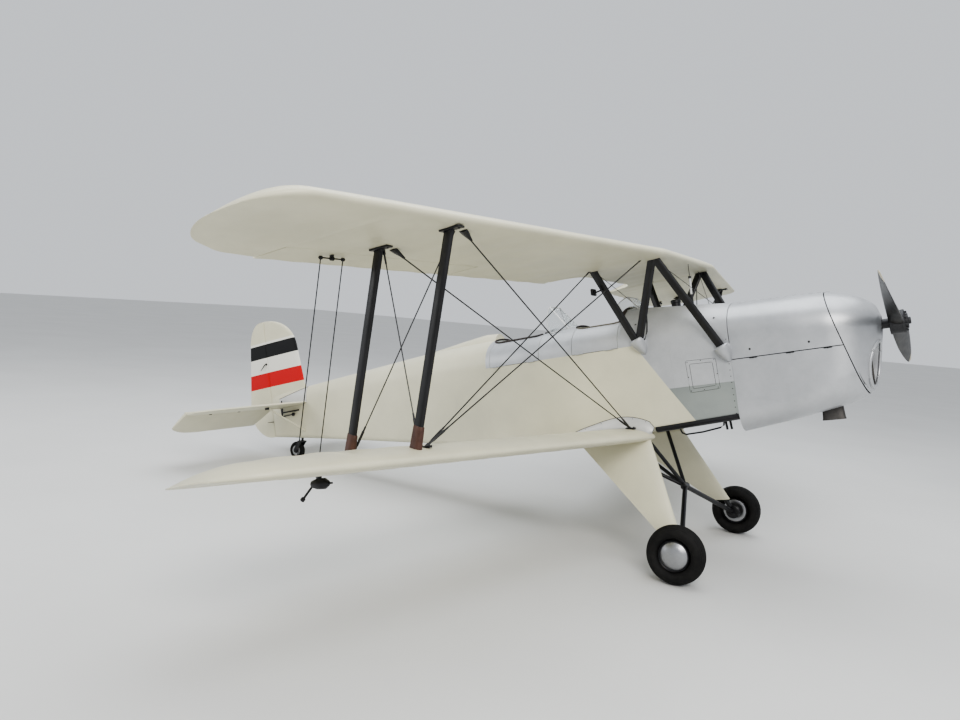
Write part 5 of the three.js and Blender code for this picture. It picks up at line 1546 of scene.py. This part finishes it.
# forward of the seat's back, across, height, and the direction that the strap's face looks in
SHOULDER_STRAP = [(-6, 62, 150, BACKWARD), (-5, 62, 190, BACKWARD), (4, 62, 210, UP - FORWARD), (24, 62, 212, UP),
                  (56, 62, 196, UP + FORWARD), (66, 60, 120, FORWARD), (66, 56, 20, FORWARD), (70, 52, -80, FORWARD),
                  (92, 46, -150, UP + FORWARD), (128, 40, -172, UP)]
LAP_STRAP = [(110, 178, -176), (122, 164, -168), (140, 140, -170), (162, 100, -168), (180, 60, -166), (190, 24, -164)]
for name, back_x in (("front", -2310), ("rear", -3070)):
    def at(x, y, z):
        return level(back_x + x, y, z)

    rows = seat_rows(back_x)
    build(f"bucket_{name}", sheet(rows), "alloy", node=f"seat_{name}", sharp=50, shell=0.003)
    legs = []
    for y in (-145, 145):
        legs += [rod(at(x, y, frame_at(back_x + x)[-1] + 21), at(x, y, -262), 0.011, 14) for x in (60, 250)]
        legs.append(rod(at(60, y, -300), at(250, y, -520), 0.008))
    legs += [rod(at(x, -145, -290), at(x, 145, -290), 0.009) for x in (60, 250)]
    build(f"seat_frame_{name}", legs, "black")
    edge = [row[0] for row in rows] + rows[-1] + [row[-1] for row in rows][::-1]
    build(f"bucket_edge_{name}", tube(edge, 0.0042, 10), "alloy", sharp=60)
    tilt = Matrix.Rotation(-PITCH, 4, "Y")
    flat = Matrix.Translation(at(190, 0, -216)) @ tilt @ Matrix.Rotation(math.radians(-3), 4, "Y")
    upright_pad = Matrix.Translation(at(34, 0, 22)) @ tilt @ Matrix.Rotation(math.radians(90), 4, "Y")
    placed(CUSHION[0], f"seat_cushion_{name}", flat)
    placed(CUSHION[1], f"seat_welt_{name}", flat)
    placed(BACK_PAD[0], f"back_cushion_{name}", upright_pad)
    placed(BACK_PAD[1], f"back_welt_{name}", upright_pad)

    straps, buckles = [], []
    for side in (1, -1):
        straps.append(ribbon([at(x, y * side, z) for x, y, z, _ in SHOULDER_STRAP],
                             [row[3] for row in SHOULDER_STRAP], 0.042, 0.0022))
        straps.append(ribbon([at(x, y * side, z) for x, y, z in LAP_STRAP], [UP] * len(LAP_STRAP), 0.046, 0.0024))
        buckles.append(brick((164, 22 * side, -163), (212, 50 * side, -158), at))
        buckles.append(brick((64, 38 * side, 40), (71, 84 * side, 84), at))
    build(f"harness_{name}", straps, "webbing", sharp=60)
    soften(build(f"harness_buckles_{name}", buckles, "steel"), 0.0018, 2)
for loose in (*CUSHION, *BACK_PAD):
    bpy.data.objects.remove(loose)

# ---- fairings, panels and small fittings ----
ROOT_RIM = 373
outline = []
for k in range(-34, 25):
    c = 0.5 - 0.5 * math.cos(math.pi * min(1, abs(k) / 34))
    up, down, _ = aerofoil(c)
    outline.append((c, up if k <= 0 else down, k))
for tag, side in SIDES:
    rows = []
    for i, (c, h, k) in enumerate(outline):
        before, after = outline[max(0, i - 1)], outline[min(len(outline) - 1, i + 1)]
        run = on_wing(LOWER, 372, after[0], after[1] * 1000) - on_wing(LOWER, 372, before[0], before[1] * 1000)
        normal = Vector((run.z, 0, -run.x)).normalized()
        if normal.z < 0 and k < -2:
            normal = -normal
        rise = 30
        if k <= 0:
            rise = (44 + 44 * math.exp(-((c - 0.2) / 0.26) ** 2)) * min(1, 0.3 + (1.0 - c) * 1.6)
            rise = lerp(34, rise, min(1, c / 0.05))
        reach = 30 + 26 * math.exp(-((c - 0.2) / 0.3) ** 2)
        row = []
        for j in range(9):
            t = math.radians(90 * j / 8)
            p = on_wing(LOWER, ROOT_RIM + reach * (1 - math.cos(t)), c, h * 1000)
            row.append(mirror(side, *(p + normal * (rise * (1 - math.sin(t)) + 1.2))))
        rows.append(row)
    build(f"root_fairing_{tag}", sheet(rows), "bright", sharp=50, shell=0.0016)
    build(f"root_welt_{tag}", tube([row[0] for row in rows[:40]], 0.0022, 8), "dark")
    heads = [row[0] + Vector((0, side * 0.0045, -0.011)) for row in rows[4:34:3]]
    screws(f"root_screws_{tag}", heads, ACROSS * side, 0.003)

rings = []
for x in stations(-1690, -1064, 60):
    _, half, _, _, bottom = frame_at(x)
    wide = [(half + 6, bottom + 34), (half + 8, bottom + 22), (half + 2, bottom + 6), (half - 14, bottom - 5),
            (half - 40, bottom - 11), (half * 0.5, bottom - 12)]
    rings.append([level(x, y, z) for y, z in wide] + [level(x, -y, z) for y, z in wide[::-1]])
build("belly_pan", loft(rings), "black", sharp=50)
drain = [(-1572, -592), (-1560, -622), (-1530, -636), (-1400, -628), (-1262, -606), (-1236, -590), (-1230, -560)]
pipes = [pipe([(x, -150, z) for x, z in drain], 0.0065, 12)]
pipes += [rod(level(x, -205, -545), level(x + 6, -205, -622), 0.0085, 14) for x in (-1205, -1172)]
build("drain_pipes", pipes, "black")

# height of the door hinges; panels and screws on the fuselage sides, as (station, height)
HINGE_LINE = 92
PANEL = [(-1392, -84), (-1384, -78), (-1178, -84), (-1170, -92), (-1164, -300), (-1172, -308), (-1378, -316),
         (-1386, -308)]
PANEL_MIDDLE = (-1278, -197)
PANEL_SCREWS = [(-1380, -90), (-1280, -88), (-1182, -92), (-1172, -200), (-1178, -298), (-1280, -304), (-1376, -304),
                (-1384, -200)]
for tag, side in SIDES:
    def on_side(x, z, out=0.0):
        _, half, _, shoulder, bottom = frame_at(x)
        middle = (shoulder + bottom) / 2
        t = 1 - abs(z - middle) / abs(shoulder - middle)
        return mirror(side, x, half + 8 * max(0, t) + out, z)

    out = ACROSS * side
    rings = [[on_side(x, z, lift) for x, z in PANEL] for lift in (-2, 1.0, 1.6)]
    build(f"access_panel_{tag}", loft(rings), "body", sharp=30)
    lines = []
    for across, down, lift in ((0, 0, 1.2), (26 / 110, 26 / 115, 1.8)):
        loop = [on_side(lerp(x, PANEL_MIDDLE[0], across), lerp(z, PANEL_MIDDLE[1], down), lift) for x, z in PANEL]
        lines.append(tube(loop + loop[:1], 0.0012, 6, caps=False))
    build(f"panel_lines_{tag}", lines, "dark", sharp=60)
    screws(f"panel_screws_{tag}", [on_side(x, z, 1.6) for x, z in PANEL_SCREWS], out)
    screws(f"firewall_screws_{tag}", [on_side(-1078, z, 0.4) for z in stations(-500, 40, 45)], out)

    # catches on the cowling's lower seam
    catches = []
    for x in (-906, -657, -416):
        run = [mirror(side, place, cowl_point(place, belly_edge(place))[0] + 1.5, -116)
               for place in [x + d for d in (-26, -13, 0, 13, 26)]]
        catches.append(ribbon(run, [out] * 5, 0.009, 0.0034))
        catches.append(rod(run[2] - out * 0.004, run[2] + out * 0.005, 0.0062, 16))
    build(f"cowl_catches_{tag}", catches, "black")
    spots = []
    for x, z in ((-922, -54), (-528, -60)):
        y = next(y for y, low in [cowl_point(x, k / 400) for k in range(400)] if low < z)
        spots.append(mirror(side, x, y + 0.5, z))
    screws(f"cowl_buttons_{tag}", spots, out, 0.008, "dark", f"cowl_door_{tag}")

    # long hinge beside the spine of the cowling
    knuckles = [rod(*[mirror(side, end, 22, cowl_point(end, lid_top(end))[1] - 1.5) for end in (x, x + 25)],
                    0.0036, 10) for x in stations(-1040, -390, 28)[::2]]
    build(f"cowl_hinge_{tag}", knuckles, "steel")

    # cockpit door hinges
    for name, (_, _, front, back) in COCKPITS.items():
        moving, fixed = [], []
        for x in (front - 70, back + 70):
            y = frame_at(x)[1] + 9
            for pins, middle, half in ((moving, x, 20), (fixed, x - 27, 5), (fixed, x + 27, 5)):
                ends = [mirror(side, middle + d, y, HINGE_LINE) for d in (-half, half)]
                pins.append(rod(*ends, 0.0052, 14))
        build(f"door_hinge_{name}_{tag}", moving, "silver", f"door_{name}_{tag}")
        build(f"hinge_lugs_{name}_{tag}", fixed, "silver")

# mirror on the near rear cabane strut, level tube under the tank, fuel pipe and filler
soften(build("mirror_case", brick((-1944, -668, 500), (-1928, -590, 552)), "black"), 0.006)
soften(build("mirror_glass", brick((-1947, -664, 504), (-1944.5, -594, 548)), "alloy"), 0.001, 2)
build("mirror_arm", rod(level(-1934, -600, 526), level(-1886, -576, 540), 0.006), "black")
build("level_tube", rod(level(-1384, 0, 436), level(-1378, 0, 580), 0.009, 20), "bright")
build("level_tube_ends", [rod(level(-1386, 0, 344), level(-1384, 0, 446), 0.012, 20),
                          rod(level(-1378, 0, 572), level(-1378, 0, 590), 0.012, 20),
                          rod(level(-1378, 0, 585), level(-1376, 0, 706), 0.003)], "black")
line = [(-1712, -398, 96), (-1668, -402, 130), (-1640, -414, 180), (-1622, -434, 250), (-1606, -462, 330),
        (-1590, -492, 400), (-1566, -520, 470)]
build("fuel_pipe", pipe(line, 0.0055, 12), "black")
filler = [(-0.01, 0.036), (0.024, 0.036), (0.028, 0.040), (0.046, 0.040), (0.052, 0.034)]
build("deck_filler", turned(level(-1515, 0, deck_height(-1515, 0)), UP, filler, 32), "black")

# probe below the near lower wing
base = at_skin(LOWER, 3000, 0.5, "bottom", 0, -1)
stem = base - UP * 0.045
body = [(0, 0.006), (0.012, 0.02), (0.05, 0.03), (0.10, 0.030), (0.125, 0.016), (0.13, 0.006), (0.155, 0.005)]
head = [(0, 0.006), (0.006, 0.013), (0.02, 0.013), (0.026, 0.006)]
build("wing_probe", [streamlined((stem, 0.030, 0.012), (base + UP * 0.004, 0.046, 0.018)),
                     turned(stem - FORWARD * 0.06, FORWARD, body, 24),
                     rod(stem - FORWARD * 0.04, stem - FORWARD * 0.13 - UP * 0.075, 0.0065),
                     turned(stem - FORWARD * 0.125 - UP * 0.071, -FORWARD - UP * 0.8, head, 16)], "black")

# tail: fairing at the fin's foot, hinge brackets, trim arm and control rods
FAIRING_FRONT, FAIRING_BACK = (-5556, 204), (-6010, 116)
for tag, side in SIDES:
    rows = []
    for k in range(25):
        x, crest = [lerp(p, q, k / 24) for p, q in zip(FAIRING_FRONT, FAIRING_BACK)]
        _, half, top, shoulder, _ = frame_at(x)
        first = math.acos(((crest - shoulder) / (top - shoulder)) ** (DECK_POWER / 2))
        row = []
        for j in range(13):
            y, z = deck_point(half, top, shoulder, lerp(first, math.radians(89), j / 12))
            row.append(mirror(side, x, y + 3, z + 2))
        rows.append(row + [mirror(side, x, half + 5, z) for z in (50, 36)])
    build(f"tail_fairing_{tag}", sheet(rows), "bright", sharp=50, shell=0.002)
    edge = [row[0] + Vector((0, side * 0.001, 0.0005)) for row in rows]
    build(f"tail_fairing_edge_{tag}", tube(edge, 0.0022, 8), "dark")
    brackets = [streamlined((mirror(side, -5915, y, 16), 0.050, 0.012), (mirror(side, -5915, y, 30), 0.030, 0.012))
                for y in (330, 700, 1050)]
    brackets.append(streamlined((mirror(side, -5700, 520, 4), 0.052, 0.022),
                                (mirror(side, -5700, 520, 26), 0.062, 0.026)))
    build(f"tail_brackets_{tag}", brackets, "black")
    drum = [(0, 0.012), (0.004, 0.018), (0.018, 0.018), (0.022, 0.012)]
    control = [rod(mirror(side, -5968, 66, -76), mirror(side, -5700, 66, -60), 0.006),
               rod(mirror(side, -5960, 82, -36), mirror(side, -5690, 92, -28), 0.0075),
               rod(mirror(side, -5950, 82, -84), mirror(side, -5950, 82, -22), 0.0065),
               turned(mirror(side, -5780, 78, -66), ACROSS * side, drum, 20)]
    build(f"tail_rods_{tag}", control, "black")
arm = pipe([(-6176, -24, 526), (-6180, -44, 520), (-6250, -46, 462)], [0.007, 0.006, 0.003], 12)
pivot = turned(level(-6176, -18, 526), -ACROSS, [(0, 0.012), (0.012, 0.011), (0.018, 0.007)], 20)
build("rudder_arm", [arm, pivot], "black", "rudder")

# ---- floor, light and camera ----
FLOOR_HALF, FLOOR_DROP = 60, -0.0005
spots = (-FLOOR_HALF, 0, FLOOR_HALF)
floor = build("floor", sheet([[Vector((x, y, FLOOR_DROP)) for y in spots] for x in spots]), "floor", None)


def soft_light(name, place, target, size, watts, colour=(1, 1, 1)):
    light = bpy.data.lights.new(name, "AREA")
    light.shape = "RECTANGLE"
    light.size, light.size_y = size
    light.energy = watts
    light.color = colour
    lamp = linked(name, light)
    lamp.location = place
    lamp.rotation_euler = (Vector(target) - Vector(place)).to_track_quat("-Z", "Y").to_euler()


soft_light("key_light", (7.5, -10.0, 8.5), (0.5, 0, 1.0), (7, 5), 1150, (1, 0.97, 0.93))
soft_light("overhead_light", (0.0, 1.0, 9.5), (0, 0, 1.0), (11, 9), 750, (0.95, 0.98, 1))
soft_light("fill_light", (-9.0, -8.0, 4.5), (0, 0, 1.0), (6, 5), 260)

world = bpy.data.worlds.new("studio")
world.use_nodes = True
sky = world.node_tree.nodes["Background"].inputs
sky[0].default_value, sky[1].default_value = (0.82, 0.85, 0.89, 1), 0.8
scene = bpy.context.scene
scene.world = world
scene.view_settings.view_transform = "AgX"
scene.view_settings.look = "AgX - Medium High Contrast"

# the photograph's viewpoint
YAW, TILT, ROLL = -0.5525, -0.0692, 0.0771
EYE = Vector((1.4912 + AXLE_X, -6.0300, 1.8024))
ahead = Vector((math.sin(YAW) * math.cos(TILT), math.cos(YAW) * math.cos(TILT), math.sin(TILT)))
right = ahead.cross(Vector((0, 0, 1))).normalized()
above = right.cross(ahead)
across = right * math.cos(ROLL) + above * math.sin(ROLL)
over = above * math.cos(ROLL) - right * math.sin(ROLL)
lens = bpy.data.cameras.new("camera")
lens.sensor_width, lens.lens = 36, 28.78
camera = linked("camera", lens)
camera.matrix_world = Matrix.Translation(EYE) @ Matrix((across, over, -ahead)).transposed().to_4x4()
scene.camera = camera

bpy.context.view_layer.update()
